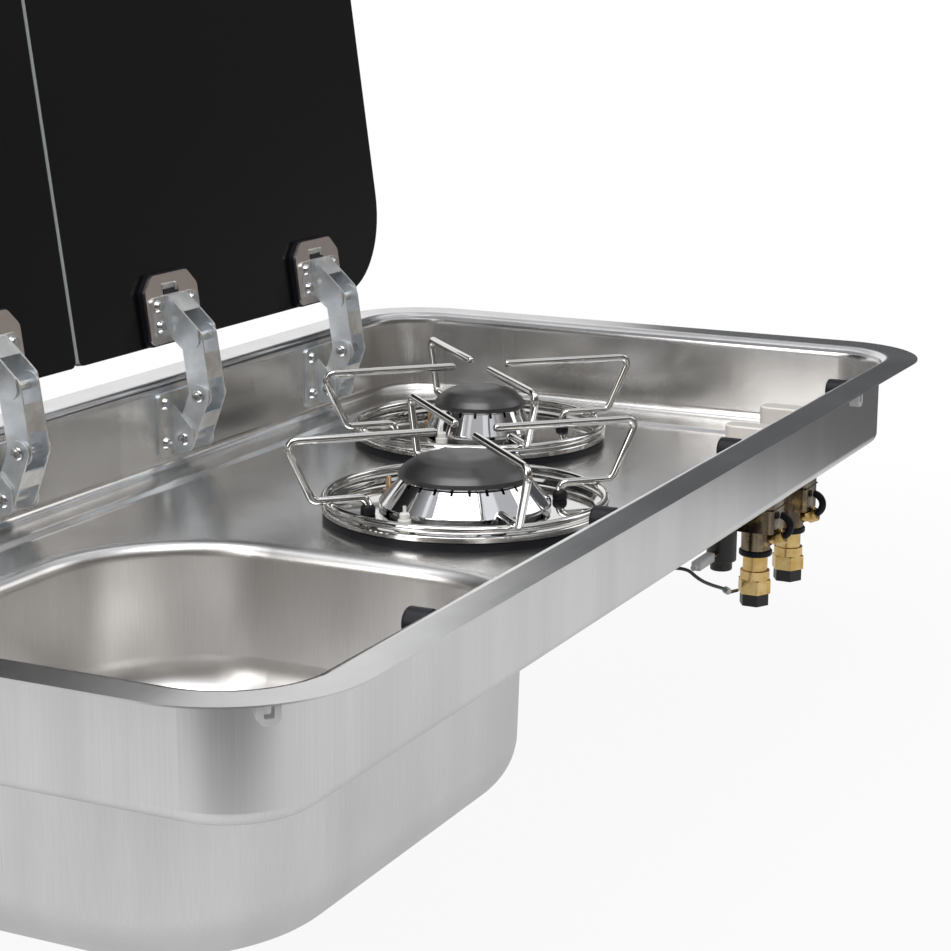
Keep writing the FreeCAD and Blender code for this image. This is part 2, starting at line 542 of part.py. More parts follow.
def make_burner(name):
    at = (name + "_x", name + "_y", "0")
    cap, cone = name + "_cap", name + "_cone"
    cup = "(%s - cup_step)" % cap
    crown_top = "(%s - crown_step)" % cap
    crown_bore = "(%s - crown_step - crown_wall)" % cap
    under = "(-ledge_drop - recess_step + gasket_height)"

    gasket = turned(name + "_dish_gasket", [
        ("gasket_inner", FLOOR), ("gasket_outer", FLOOR), ("gasket_outer", under, "edge_round"),
        ("gasket_inner", under)], at)
    spot = "(%s + probe_gap)" % cone
    spots = [("%s*cos(%s)" % (spot, angle), "%s*sin(%s)" % (spot, angle))
             for angle in ("electrode_angle", "probe_angle")]
    crest, dish_crest = under + " + dish_rise", DISH_TOP + " + dish_rise"
    dish = turned(name + "_dish", [
        (cup + " + fit_gap", under), ("dish_floor", under, "dish_sheet*2"),
        ("dish_radius - dish_rise", crest, "dish_sheet"), ("dish_radius - dish_sheet", crest, "dish_sheet/2"),
        ("dish_radius - dish_sheet", crest + " - dish_skirt"), ("dish_radius", crest + " - dish_skirt"),
        ("dish_radius", dish_crest, "dish_sheet*1.5"),
        ("dish_radius - dish_rise", dish_crest, "dish_sheet*2"),
        ("dish_floor", DISH_TOP, "dish_sheet"), (cup + " + fit_gap", DISH_TOP)], at)
    round_feature(dish, "Pocket", "XY_Plane", [(x, y, "ceramic_radius + hole_gap") for x, y in spots],
                  "dish_sheet*3", offset=DISH_TOP + " + dish_sheet")

    cup_foot = DISH_TOP + " - cup_depth"
    base = turned(name + "_burner_base", [
        ("0", cup_foot), (cup, cup_foot, "cup_round"), (cup, DISH_TOP), (cone + " - flange_step", DISH_TOP),
        (cone + " - flange_step", FLANGE_TOP), (cup + " - cup_wall", FLANGE_TOP),
        (cup + " - cup_wall", cup_foot + " + cup_wall", "cup_round"), ("0", cup_foot + " + cup_wall")], at)
    # the near burner takes its gas from the right, the far one from the front
    round_feature(base, "Pad", "YZ_Plane" if name == "large" else "XZ_Plane", [("0", OUTLET_Z, "boss_radius")],
                  "boss_length + cup_wall/2", offset=cup + " - cup_wall/2")

    crown = turned(name + "_burner_crown", [
        (cone + " - cone_wall", FLANGE_TOP), (cone, FLANGE_TOP),
        (cone, FLANGE_TOP + " + cone_foot", "edge_round"),
        (crown_top, CROWN_TOP + " - crown_rim"), (crown_top, CROWN_TOP),
        (crown_bore, CROWN_TOP), (crown_bore, CROWN_TOP + " - crown_band")], at)
    port = pocket(crown, "XY_Plane",
                  box_corners(crown_bore + " - port_width", crown_top + " + port_depth",
                              "-port_width/2", "port_width/2"),
                  "port_depth", offset=CROWN_TOP)
    repeat_around(crown, port, name + "_ports")

    seat = CROWN_TOP + " + seat_gap"
    rim_top = seat + " + cap_edge"
    skirt = "(%s - fit_gap)" % crown_bore
    lid = turned(name + "_burner_cap", [
        ("0", seat), (skirt + " - cap_wall", seat), (skirt + " - cap_wall", seat + " - cap_skirt"),
        (skirt, seat + " - cap_skirt"), (skirt, seat), (cap, seat), (cap, rim_top, "edge_round"),
        (cap + "*0.91", rim_top + " + cap_dome*0.33", cap + "*0.3"),
        (cap + "*0.74", rim_top + " + cap_dome*0.7", cap + "*0.42"),
        (cap + "*0.48", rim_top + " + cap_dome*0.94", cap + "*0.9"), ("0", rim_top + " + cap_dome")], at)

    foot = UNDERSIDE + " - probe_tail"
    flange_top = DISH_TOP + " + probe_flange_height"
    (spark_x, spark_y), (probe_x, probe_y) = spots
    ceramic_top = DISH_TOP + " + ceramic_height"
    electrode = turned(name + "_electrode", [
        ("0", foot), ("ceramic_radius", foot), ("ceramic_radius", DISH_TOP), ("probe_flange", DISH_TOP),
        ("probe_flange", flange_top, "edge_round/2"), ("ceramic_radius", flange_top),
        ("ceramic_radius", ceramic_top, "edge_round"), ("tip_radius", ceramic_top),
        ("tip_radius", ceramic_top + " + tip_height"), ("0", ceramic_top + " + tip_height")],
        (at[0] + " + " + spark_x, at[1] + " + " + spark_y, "0"))
    probe = turned(name + "_thermocouple", [
        ("0", foot), ("probe_radius", foot), ("probe_radius", DISH_TOP), ("probe_flange", DISH_TOP),
        ("probe_flange", flange_top, "edge_round/2"), ("probe_radius", flange_top),
        ("probe_radius", DISH_TOP + " + probe_height", "edge_round"), ("0", DISH_TOP + " + probe_height")],
        (at[0] + " + " + probe_x, at[1] + " + " + probe_y, "0"))
    return [gasket, dish, base, crown, lid, electrode, probe]


# Pan supports

def make_pan_support(name):
    top, ring_z = -size("support_drop"), size(RING_Z)
    level = ring_z + size("2*wire_radius - weld")
    foot_z = size(DISH_TOP + " + foot_sole")
    wire, bend = size("wire_radius"), size("wire_bend")
    route = [Vector(size("finger_tip"), 0, top), Vector(size("finger_reach"), 0, top),
             Vector(size("leg_place"), 0, level), Vector(size("foot_place"), 0, level),
             Vector(size("foot_place"), 0, foot_z)]
    finger = tube_along(route, [0, bend, bend, bend, 0], wire)
    tip = Part.makeSphere(wire, route[0])
    finger = finger.fuse(tip)
    ring = Part.makeTorus(size("ring_radius"), wire, Vector(0, 0, ring_z))
    fingers = []
    for quarter in range(4):
        copy = finger.copy()
        copy.rotate(Vector(0, 0, 0), Vector(0, 0, 1), 45 + 90 * quarter)
        fingers.append(copy)
    support = shaped(name + "_pan_support", ring.multiFuse(fingers))
    place(support, (name + "_x", name + "_y", "0"))

    feet = []
    for quarter in range(4):
        angle = 45 + 90 * quarter
        block = turned("%s_foot_%d" % (name, quarter), [
            ("0", DISH_TOP), ("foot_radius", DISH_TOP, "edge_round"),
            ("foot_radius", DISH_TOP + " + foot_height", "edge_round*3"),
            ("0", DISH_TOP + " + foot_height")],
            (name + "_x + foot_place*cos(%d)" % angle, name + "_y + foot_place*sin(%d)" % angle, "0"))
        foot = doc.addObject("Part::Cut", block.Name + "_moulded")
        foot.Base = block
        foot.Tool = support
        feet.append(foot)
    return [support, group(name + "_support_feet", feet)]


# Knobs, valves and gas pipes

def make_valve(name):
    at = (name + "_knob_x", "knob_y", "0")
    valve = new_body(name + "_valve")
    pad(valve, "XY_Plane",
        box_corners("-valve_width/2", "valve_width/2", "-valve_depth/2", "valve_depth/2", "valve_edge"),
        "valve_height", offset=UNDERSIDE, backwards=True)
    round_feature(valve, "Pad", "XY_Plane", [("0", "0", "neck_radius")],
                  "neck_rise + sheet", offset=UNDERSIDE)
    round_feature(valve, "Pad", "XY_Plane", [("0", "0", "valve_tail_radius")], "valve_tail",
                  offset=VALVE_BLOCK, backwards=True)
    round_feature(valve, "Pocket", "XY_Plane", [("0", "0", "collar_radius + run_gap")],
                  "neck_bore", offset=NECK_TOP)
    round_feature(valve, "Pad", "XZ_Plane", [("0", OUTLET_Z, "boss_radius")], "boss_length",
                  offset="-valve_depth/2", backwards=True)
    place(valve, at)

    collar_top = NECK_TOP + " - collar_drop"
    collar_foot = collar_top + " - collar_height"
    collar = turned(name + "_push_collar", [
        ("spindle_radius + run_gap", collar_foot), ("collar_radius", collar_foot),
        ("collar_radius", collar_top), ("spindle_radius + run_gap", collar_top)], at)
    spindle = turned(name + "_spindle", [
        ("0", NECK_TOP + " - spindle_tail"), ("spindle_radius", NECK_TOP + " - spindle_tail", "edge_round/2"),
        ("spindle_radius", KNOB_BOTTOM + " + knob_bore"), ("0", KNOB_BOTTOM + " + knob_bore")], at)
    knob = new_body(name + "_knob")
    end = "knob_width*0.49"
    pad(knob, "XY_Plane",
        box_corners("-knob_width/2", "knob_width/2", "-knob_length/2", "knob_length/2", end),
        "knob_height", offset=KNOB_BOTTOM)
    round_feature(knob, "Pocket", "XY_Plane", [("0", "0", "spindle_radius")], "knob_bore",
                  offset=KNOB_BOTTOM, backwards=True)
    doc.recompute()
    block, top = knob.Tip, -size("knob_drop")
    edges = ["Edge%d" % (i + 1) for i, e in enumerate(knob.Shape.Edges)
             if all(abs(v.Z - top) < 1e-4 for v in e.Vertexes)]
    fillet = knob.newObject("PartDesign::Fillet", name + "_knob_edge")
    fillet.Base = (block, edges)
    bind(fillet, Radius="knob_edge")
    place(knob, at)
    return [valve, collar, spindle, knob]


def make_inlets():
    fittings, nuts, caps = [], [], []
    shank_end = "(-fitting_height - shank_length)"
    cap_top = "(-fitting_height - inlet_nut_height)"
    for name in ("large", "small"):
        at = (name + "_knob_x", "knob_y", VALVE_BOTTOM)
        fittings.append(turned(name + "_fitting", [
            ("0", shank_end), ("shank_radius", shank_end, "edge_round"), ("shank_radius", "-fitting_height"),
            ("fitting_radius", "-fitting_height"), ("fitting_radius", "0"), ("0", "0")], at))
        nut = new_body(name + "_nut")
        pad(nut, "XY_Plane", hex_corners("0", "0", "inlet_nut"), "inlet_nut_height - inlet_nut_collar",
            offset="-fitting_height - inlet_nut_collar", backwards=True)
        round_feature(nut, "Pad", "XY_Plane", [("0", "0", "inlet_nut/2")], "inlet_nut_collar",
                      offset="-fitting_height", backwards=True)
        round_feature(nut, "Pocket", "XY_Plane", [("0", "0", "shank_radius + run_gap")], "inlet_nut_height",
                      offset="-fitting_height")
        place(nut, at)
        nuts.append(nut)
        cap = new_body(name + "_inlet_cap")
        pad(cap, "XY_Plane", hex_corners("0", "0", "inlet_cap"), "inlet_cap_height",
            offset=cap_top, backwards=True)
        round_feature(cap, "Pocket", "XY_Plane", [("0", "0", "shank_radius + run_gap")],
                      "shank_length - inlet_nut_height", offset=cap_top)
        place(cap, at)
        caps.append(cap)
    return [group("inlet_fittings", fittings), group("inlet_nuts", nuts), group("inlet_caps", caps)]


def make_gas_pipes():
    pipes, nuts = [], []
    z = size(OUTLET_Z)
    for name in ("large", "small"):
        start = (name + "_knob_x", "knob_y + valve_depth/2 + boss_length")
        reach = "(%s_cap - cup_step + boss_length)" % name
        if name == "large":
            end, end_plane = ("large_x + " + reach, "large_y"), "YZ_Plane"
            bends = [(start[0], end[1])]
        else:
            end, end_plane = ("small_x", "small_y - " + reach), "XZ_Plane"
            middle = "(%s + %s)/2" % (start[1], end[1])
            bends = [(start[0], middle + " - pipe_run/2"), (end[0], middle + " + pipe_run/2")]
        route = [Vector(size(x), size(y), z) for x, y in [start] + bends + [end]]
        radii = [0] + [size("pipe_bend")] * len(bends) + [0]
        outside = tube_along(route, radii, size("pipe_radius"))
        inside = tube_along(route, radii, size("pipe_radius - pipe_wall"))
        pipes.append(shaped(name + "_gas_pipe", outside.cut(inside)))
        for where, plane, (x, y) in (("valve", "XZ_Plane", start), ("burner", end_plane, end)):
            nut = new_body("%s_%s_nut" % (name, where))
            pad(nut, plane, hex_corners("0", "0", "pipe_nut"), "pipe_nut_length", backwards=where == "valve",
                holes=[("0", "0", "pipe_radius + run_gap")])
            place(nut, (x, y, OUTLET_Z))
            nuts.append(nut)
    return pipes + [group("pipe_nuts", nuts)]


def make_igniter():
    step = "(-igniter_height + igniter_foot_height)"
    module = turned("igniter_module", [
        ("0", "-igniter_height"), ("igniter_foot", "-igniter_height", "edge_round"), ("igniter_foot", step),
        ("igniter_radius", step, "edge_round"), ("igniter_radius", "0"), ("0", "0")],
        ("igniter_x", "igniter_y", UNDERSIDE))
    # the lead hangs under the deck, from the near burner's electrode to the flat of the near inlet nut
    start = Vector(size("large_x + (large_cone + probe_gap)*cos(electrode_angle)"),
                   size("large_y + (large_cone + probe_gap)*sin(electrode_angle)"),
                   size(UNDERSIDE + " - probe_tail"))
    end = Vector(size("large_knob_x - inlet_nut/2"), size("knob_y"),
                 size(VALVE_BOTTOM + " - fitting_height - (inlet_nut_height + inlet_nut_collar)/2"))
    route = [start, start + Vector(0, 0, -10), start + Vector(9, -10, -18), start + Vector(29, -37, -22),
             start + Vector(71, -73, -19), end + Vector(-107, 32, 39), end + Vector(-87, 12, 35),
             end + Vector(-77.5, 6, 24.5), end + Vector(-62.5, 3, 17.5), end + Vector(-48, 0, 12),
             end + Vector(-33, 0, 5), end + Vector(-17, 0, 0), end]
    radii = [0]
    for before, here, after in zip(route, route[1:], route[2:]):
        back, ahead = before - here, after - here
        half = back.getAngle(ahead) / 2
        radii.append(0.45 * min(back.Length, ahead.Length) * math.tan(half))
    radii.append(0)
    print("lead bend radii", [round(r, 1) for r in radii[1:-1]])
    return [module, shaped("ignition_lead", tube_along(route, radii, size("lead_radius")))]


# Bumpers and tabs

BUMPERS = ["hob_bumper_inner", "hob_bumper_outer", "sink_bumper_inner", "sink_bumper_outer"]


def make_bumpers():
    neck = "-sheet - bumper_slack"
    head = neck + " - bumper_head_height"
    bumpers = []
    for x in BUMPERS:
        bumpers.append(turned(x + "_rubber", [
            ("0", "bumper_length"), ("bumper_radius", "bumper_length", "bumper_edge"), ("bumper_radius", "0"),
            ("bumper_stem", "0"), ("bumper_stem", neck), ("bumper_head", neck),
            ("bumper_head*0.8", head, "edge_round"), ("0", head)],
            (x, "-" + WALL_Y, "-bumper_drop"), (ACROSS, "-90")))
    return group("lid_bumpers", bumpers)


def make_tabs():
    tabs = []
    reach = "(rim_corner - tab_inset)*cos(45)"
    corner_x = "(unit_length/2 - rim_corner + %s)" % reach
    corner_y = "(unit_width/2 - rim_corner + %s)" % reach
    side_y = "(unit_width/2 - tab_inset)"
    spots = [("-" + corner_x, "-" + corner_y, "-45"), ("-" + corner_x, corner_y, "45"),
             ("tab_x", "-" + side_y, "0"), ("tab_x", side_y, "0")]
    outside, inside = "tab_width/2", "(tab_width/2 - tab_wall)"
    foot, web = "-tab_height", "(tab_wall - tab_height)"
    for i, (x, y, angle) in enumerate(spots):
        tab = new_body("tab_%d" % i)
        pad(tab, "XZ_Plane", [
            ("-" + outside, "0"), ("-" + outside, foot, "tab_round"), (outside, foot, "tab_round"),
            (outside, "0"), (inside, "0"), (inside, web, "edge_round"), ("-" + inside, web, "edge_round"),
            ("-" + inside, "0")],
            "tab_depth", midplane=True)
        place(tab, (x, y, "0"), (Vector(0, 0, 1), angle))
        tabs.append(tab)
    return group("locating_tabs", tabs)


# Lids and hinges

HINGES = {"hob": ["hob_hinge_inner", "hob_hinge_outer"], "sink": ["sink_hinge_inner", "sink_hinge_outer"]}
ALL_HINGES = HINGES["hob"] + HINGES["sink"]
WALL_SCREWS = ["wall_screw_high", "wall_screw_low"]
ACROSS = Vector(1, 0, 0)


def place_on_lid(thing, x):
    """Lid pieces are drawn flat: X along the lid, Y up from its hinged edge, Z out of its underside."""
    place(thing, (x, LID_EDGE[0], LID_EDGE[1]), (ACROSS, "90 - lid_lean"))


def make_wall_brackets():
    brackets, screws = [], []
    outer = "(channel + 2*ear_gap + 2*steel)"
    nut_end = "-sheet - nut_height"
    for x in ALL_HINGES:
        bracket = new_body(x + "_bracket")
        pivot_y, pivot_z = PIVOT
        nose, ear_round = pivot_y + " - ear_half", "ear_half*0.8"
        pad(bracket, "YZ_Plane", [
            (WALL_Y, "-wall_plate_bottom"), (nose, pivot_z + " - ear_half", ear_round),
            (nose, pivot_z + " + ear_half", ear_round), (WALL_Y, "-wall_plate_top - ear_half")],
            outer, midplane=True)
        pocket(bracket, "YZ_Plane",
               box_corners(pivot_y + " - ear_half*2", WALL_Y + " - steel", "-wall_plate_bottom*2", "0"),
               "channel + 2*ear_gap", midplane=True)
        pad(bracket, "XZ_Plane",
            box_corners("-wall_plate_left", outer + "/2", "-wall_plate_bottom", "-wall_plate_top",
                        "wall_plate_corner"),
            "steel", offset="-" + WALL_Y,
            holes=[("-wall_screw_in", "-" + height, "screw_radius + screw_gap") for height in WALL_SCREWS])
        round_feature(bracket, "Pad", "YZ_Plane", [(pivot_y, pivot_z, "pin_radius")],
                      outer + " + steel", midplane=True)
        place(bracket, (x, "0", "0"))
        brackets.append(bracket)
        for height in WALL_SCREWS:
            screws.append(turned(x + "_" + height, [
                ("0", nut_end), ("screw_head", nut_end, "edge_round/2"), ("screw_head", "-sheet"),
                ("screw_radius", "-sheet"), ("screw_radius", "steel"), ("screw_head", "steel"),
                ("screw_head*0.7", "steel + screw_dome", "edge_round"), ("0", "steel + screw_dome")],
                (x + " - wall_screw_in", WALL_Y, "-" + height), (ACROSS, "90")))
    return [group("hinge_wall_brackets", brackets), group("hinge_wall_screws", screws)]


def channel_arm(label, half, width, start, end, x, bores):
    """A folded channel from one pin to the next, with its web along the front."""
    arm = new_body(label)
    length = "sqrt((%s - %s)^2 + (%s - %s)^2)" % (end[0], start[0], end[1], start[1])
    pad(arm, "YZ_Plane", box_corners("-" + half, length + " + " + half, "-" + half, half, half + "*0.96"),
        width, midplane=True)
    inner = "(%s - 2*steel)" % width
    past, far = "2*" + half, length + " + 2*" + half
    web, web_end = half + " - steel", length + " - web_trim"
    pocket(arm, "YZ_Plane", [
        ("-" + past, "-" + past), (far, "-" + past), (far, past), (web_end, past), (web_end, web),
        ("web_trim", web), ("web_trim", past), ("-" + past, past)], inner, midplane=True)
    round_feature(arm, "Pocket", "YZ_Plane", [("0", "0", bores[0]), (length, "0", bores[1])],
                  width + " + 2*steel", midplane=True)
    angle = "atan2(%s - %s; %s - %s)" % (end[1], start[1], end[0], start[0])
    place(arm, (x, start[0], start[1]), (ACROSS, angle))
    return arm


def cover_outline(margin):
    """The cover plate's outline, its top corners cut off, or its pad's, a margin larger."""
    side, top = "(cover_width/2 + %s)" % margin, "(cover_height + %s)" % margin
    foot = "(pad_margin - %s)" % margin
    inner, lower = "(%s - cover_chamfer)" % side, "(%s - cover_chamfer)" % top
    return [("-" + side, foot, "cover_foot"), (side, foot, "cover_foot"),
            (side, lower, "cover_round"), (inner, top, "cover_round"),
            ("-" + inner, top, "cover_round"), ("-" + side, lower, "cover_round")]


def make_lid(name):
    hinges = HINGES[name]
    if name == "hob":
        low_x, high_x = "lid_split + lid_gap/2", "unit_length/2 - lid_margin"
    else:
        low_x, high_x = "-unit_length/2 + lid_margin", "lid_split - lid_gap/2"
    corners = [(low_x, "0"), (high_x, "0"), (high_x, "lid_depth"), (low_x, "lid_depth")]
    split_side = low_x if name == "hob" else high_x
    corners = [c + (("lid_split_corner" if c[0] == split_side else "lid_corner"),) for c in corners]
    screw_spots = [(side + "lid_screw_side", level) for side in ("-", "")
                   for level in ("lid_screw_low", "lid_screw_high")]
    bore = "screw_radius + screw_gap"
    glass = new_body(name + "_lid_glass")
    holes = [("%s + %s" % (x, sx), sy, bore) for x in hinges for sx, sy in screw_spots]
    pad(glass, "XY_Plane", corners, "lid_thickness", backwards=True, holes=holes)
    place_on_lid(glass, "0")

    pads, covers, brackets, screws, arms, links, pins = [], [], [], [], [], [], []
    for x in hinges:
        holes = [(sx, sy, bore) for sx, sy in screw_spots]
        rubber = new_body(x + "_pad")
        pad(rubber, "XY_Plane", cover_outline("pad_margin"), "pad_height", holes=holes)
        place_on_lid(rubber, x)
        pads.append(rubber)
        cover = new_body(x + "_cover")
        pad(cover, "XY_Plane", cover_outline("0"), "cover_steel", offset="pad_height", holes=holes)
        place_on_lid(cover, x)
        covers.append(cover)

        bracket = new_body(x + "_lid_bracket")
        pad(bracket, "YZ_Plane", [
            ("base_low", BASE_LEVEL), ("base_high", BASE_LEVEL), ("base_high", "bracket_top_rise", "1"),
            ("top_along + bracket_half", "top_out + bracket_half", "bracket_half*0.9"),
            ("top_along - bracket_half", "top_out + bracket_half", "bracket_half*0.9"),
            ("top_along - bracket_half", "top_out - bracket_half", "2")], "channel", midplane=True)
        inside = BASE_LEVEL + " + steel"
        pocket(bracket, "YZ_Plane", [
            ("-2*bracket_half", inside), ("base_high - steel", inside),
            ("base_high - steel", "bracket_top_rise - steel"), ("bracket_web_end", "bracket_web_rise"),
            ("bracket_web_end", "top_out*2"), ("-2*bracket_half", "top_out*2")],
            "channel - 2*steel", midplane=True)
        pad(bracket, "XY_Plane",
            box_corners("-base_half", "base_half", "base_low", "base_high", "base_corner"),
            "steel", offset=BASE_LEVEL, holes=holes)
        round_feature(bracket, "Pad", "YZ_Plane", [("top_along", "top_out", "pin_radius")],
                      "channel", midplane=True)
        place_on_lid(bracket, x)
        brackets.append(bracket)

        head, nut_end = inside, "-lid_thickness - nut_height"
        for sx, sy in screw_spots:
            screw = turned("%s_screw_%d" % (x, len(screws)), [
                ("0", nut_end), ("nut_radius", nut_end, "edge_round"), ("nut_radius", "-lid_thickness"),
                ("screw_radius", "-lid_thickness"), ("screw_radius", head), ("screw_head", head),
                ("screw_head*0.7", head + " + screw_dome", "edge_round"), ("0", head + " + screw_dome")],
                ("%s + %s" % (x, sx), "%s + %s*sin(lid_lean)" % (LID_EDGE[0], sy),
                 "%s + %s*cos(lid_lean)" % (LID_EDGE[1], sy)), (ACROSS, "90 - lid_lean"))
            screws.append(screw)

        arms.append(channel_arm(x + "_lower_arm", "arm_half", "channel", PIVOT, KNEE, x,
                                ("pin_radius + run_gap", "pin_radius")))
        links.append(channel_arm(x + "_link", "link_half", "(channel - 2*steel - 2*side_gap)", KNEE, TOP, x,
                                 ("pin_radius + run_gap", "pin_radius + run_gap")))
        pin = new_body(x + "_knee_pin")
        round_feature(pin, "Pad", "YZ_Plane", [("0", "0", "pin_radius")], "channel + 2*steel", midplane=True)
        place(pin, (x, KNEE[0], KNEE[1]))
        pins.append(pin)
    kinds = [("gaskets", pads), ("covers", covers), ("brackets", brackets), ("screws", screws),
             ("lower_arms", arms), ("links", links), ("knee_pins", pins)]
    return [glass] + [group("%s_lid_%s" % (name, kind), members) for kind, members in kinds]


pieces = [make_deck_pan(), make_sink_bowl()] + make_waste()
for burner in ("large", "small"):
    pieces += make_burner(burner) + make_pan_support(burner) + make_valve(burner)
pieces += make_inlets() + make_gas_pipes() + make_igniter() + [make_bumpers(), make_tabs()]
pieces += make_wall_brackets() + make_lid("hob") + make_lid("sink")

doc.recompute()
faults = ["%s %s" % (o.Label, o.State) for o in doc.Objects if "Invalid" in o.State or "Error" in o.State]
faults += [p.Label for p in pieces if p.Shape.isNull() or not p.Shape.isValid() or not p.Shape.Solids]
if faults:
    raise RuntimeError("pieces that failed: " + ", ".join(faults))
os.makedirs("parts", exist_ok=True)
for piece in pieces:
    piece.Shape.exportStep("parts/%s.step" % piece.Label)
print(len(pieces), "pieces written")
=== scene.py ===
import math

import bmesh
import bpy
from mathutils import Matrix, Vector


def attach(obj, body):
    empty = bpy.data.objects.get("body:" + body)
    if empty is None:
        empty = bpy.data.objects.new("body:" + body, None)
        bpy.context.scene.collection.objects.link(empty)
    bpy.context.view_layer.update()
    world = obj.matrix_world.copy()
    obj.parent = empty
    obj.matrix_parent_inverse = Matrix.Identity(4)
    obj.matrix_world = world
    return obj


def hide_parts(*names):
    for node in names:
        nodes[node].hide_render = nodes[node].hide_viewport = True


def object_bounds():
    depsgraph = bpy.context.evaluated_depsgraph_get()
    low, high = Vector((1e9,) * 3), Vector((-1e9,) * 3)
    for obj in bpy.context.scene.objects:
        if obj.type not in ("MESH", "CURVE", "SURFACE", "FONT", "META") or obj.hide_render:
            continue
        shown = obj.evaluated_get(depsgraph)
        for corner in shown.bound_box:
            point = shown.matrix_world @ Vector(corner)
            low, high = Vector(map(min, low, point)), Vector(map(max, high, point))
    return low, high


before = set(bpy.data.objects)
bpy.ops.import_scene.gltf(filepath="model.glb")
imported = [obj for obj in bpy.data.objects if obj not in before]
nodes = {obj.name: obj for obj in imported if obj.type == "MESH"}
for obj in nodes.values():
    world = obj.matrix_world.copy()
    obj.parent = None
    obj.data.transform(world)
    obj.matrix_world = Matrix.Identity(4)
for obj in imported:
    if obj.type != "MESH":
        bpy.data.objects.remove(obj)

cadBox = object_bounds()
mm = 0.001
print("frame loaded,", len(nodes), "nodes")


# shader maths written as Python
class Sock:
    def __init__(self, graph, out):
        self.graph = graph
        self.out = out

    def maths(self, operation, *others):
        return self.graph.node("ShaderNodeMath", {"operation": operation}, [self, *others])

    def __add__(self, other):
        return self.maths("ADD", other)

    def __sub__(self, other):
        return self.maths("SUBTRACT", other)

    def __rsub__(self, other):
        return self.graph.node("ShaderNodeMath", {"operation": "SUBTRACT"}, [other, self])

    def __mul__(self, other):
        return self.maths("MULTIPLY", other)

    def __abs__(self):
        return self.maths("ABSOLUTE")

    def capped(self):
        return self.maths("MINIMUM", 1.0)

    def fade(self, low, high, atLow=0.0, atHigh=1.0):
        values = [self, low, high, atLow, atHigh]
        return self.graph.node("ShaderNodeMapRange", {"interpolation_type": "SMOOTHSTEP"}, values)

    def fall(self, low, high):
        return self.fade(low, high, 1.0, 0.0)


class Graph:
    def __init__(self, tree):
        self.tree = tree
        tree.nodes.clear()

    def node(self, kind, settings=None, inputs=(), output=0):
        made = self.tree.nodes.new(kind)
        for key, value in (settings or {}).items():
            setattr(made, key, value)
        pairs = inputs.items() if isinstance(inputs, dict) else enumerate(inputs)
        for key, value in pairs:
            if isinstance(value, Sock):
                self.tree.links.new(value.out, made.inputs[key])
            else:
                made.inputs[key].default_value = value
        return Sock(self, made.outputs[output]) if made.outputs else None

    def coords(self, kind="Object"):
        return self.node("ShaderNodeTexCoord", output=kind)

    def part(self, vector, axis):
        return self.node("ShaderNodeSeparateXYZ", inputs=[vector], output=axis)

    def ray(self, kind):
        return self.node("ShaderNodeLightPath", output="Is %s Ray" % kind)

    def noise(self, scale, detail=3.0, rough=0.55, stretch=(1, 1, 1)):
        vector = self.node("ShaderNodeMapping", inputs={"Vector": self.coords(), "Scale": stretch})
        return self.node("ShaderNodeTexNoise",
                         inputs={"Vector": vector, "Scale": scale, "Detail": detail, "Roughness": rough})

    def cells(self, scale):
        return self.node("ShaderNodeTexVoronoi", inputs={"Vector": self.coords(), "Scale": scale},
                         output="Distance")

    def blend(self, factor, low, high):
        values = {0: factor, 6: low if isinstance(low, Sock) else (*low, 1),
                  7: high if isinstance(high, Sock) else (*high, 1)}
        return self.node("ShaderNodeMix", {"data_type": "RGBA"}, values, 2)

    def bump(self, height, strength, distance, **under):
        return self.node("ShaderNodeBump",
                         inputs={"Strength": strength, "Distance": distance, "Height": height, **under})

    def shader(self, **sockets):
        named = {key.replace("_", " "): value for key, value in sockets.items()}
        return self.node("ShaderNodeBsdfPrincipled", inputs=named)


def newFinish(name, build):
    material = bpy.data.materials.new(name)
    material.use_nodes = True
    graph = Graph(material.node_tree)
    graph.node("ShaderNodeOutputMaterial", inputs=[build(graph)])
    return material


# camera, at the photograph's viewing angle
cameraLook = {"at": (-1.1317, -0.6314, 0.2814), "yaw": 26.08, "pitch": 13.16, "roll": 0.26, "focal": 2318.9,
              "frame": 951, "sensor": 36.0, "clip": (0.05, 50)}


def makeCamera():
    yaw, pitch, roll = (math.radians(cameraLook[k]) for k in ("yaw", "pitch", "roll"))
    ahead = Vector((math.cos(pitch) * math.cos(yaw), math.cos(pitch) * math.sin(yaw), -math.sin(pitch)))
    level = Vector((math.sin(yaw), -math.cos(yaw), 0))
    above = level.cross(ahead)
    right = level * math.cos(roll) + above * math.sin(roll)
    up = right.cross(ahead)
    data = bpy.data.cameras.new("camera")
    data.sensor_width = cameraLook["sensor"]
    data.lens = cameraLook["sensor"] * cameraLook["focal"] / cameraLook["frame"]
    data.clip_start, data.clip_end = cameraLook["clip"]
    camera = bpy.data.objects.new("camera", data)
    bpy.context.scene.collection.objects.link(camera)
    turn = Matrix((right, up, -ahead)).transposed().to_4x4()
    camera.matrix_world = Matrix.Translation(cameraLook["at"]) @ turn
    bpy.context.scene.camera = camera


makeCamera()
print("camera set")

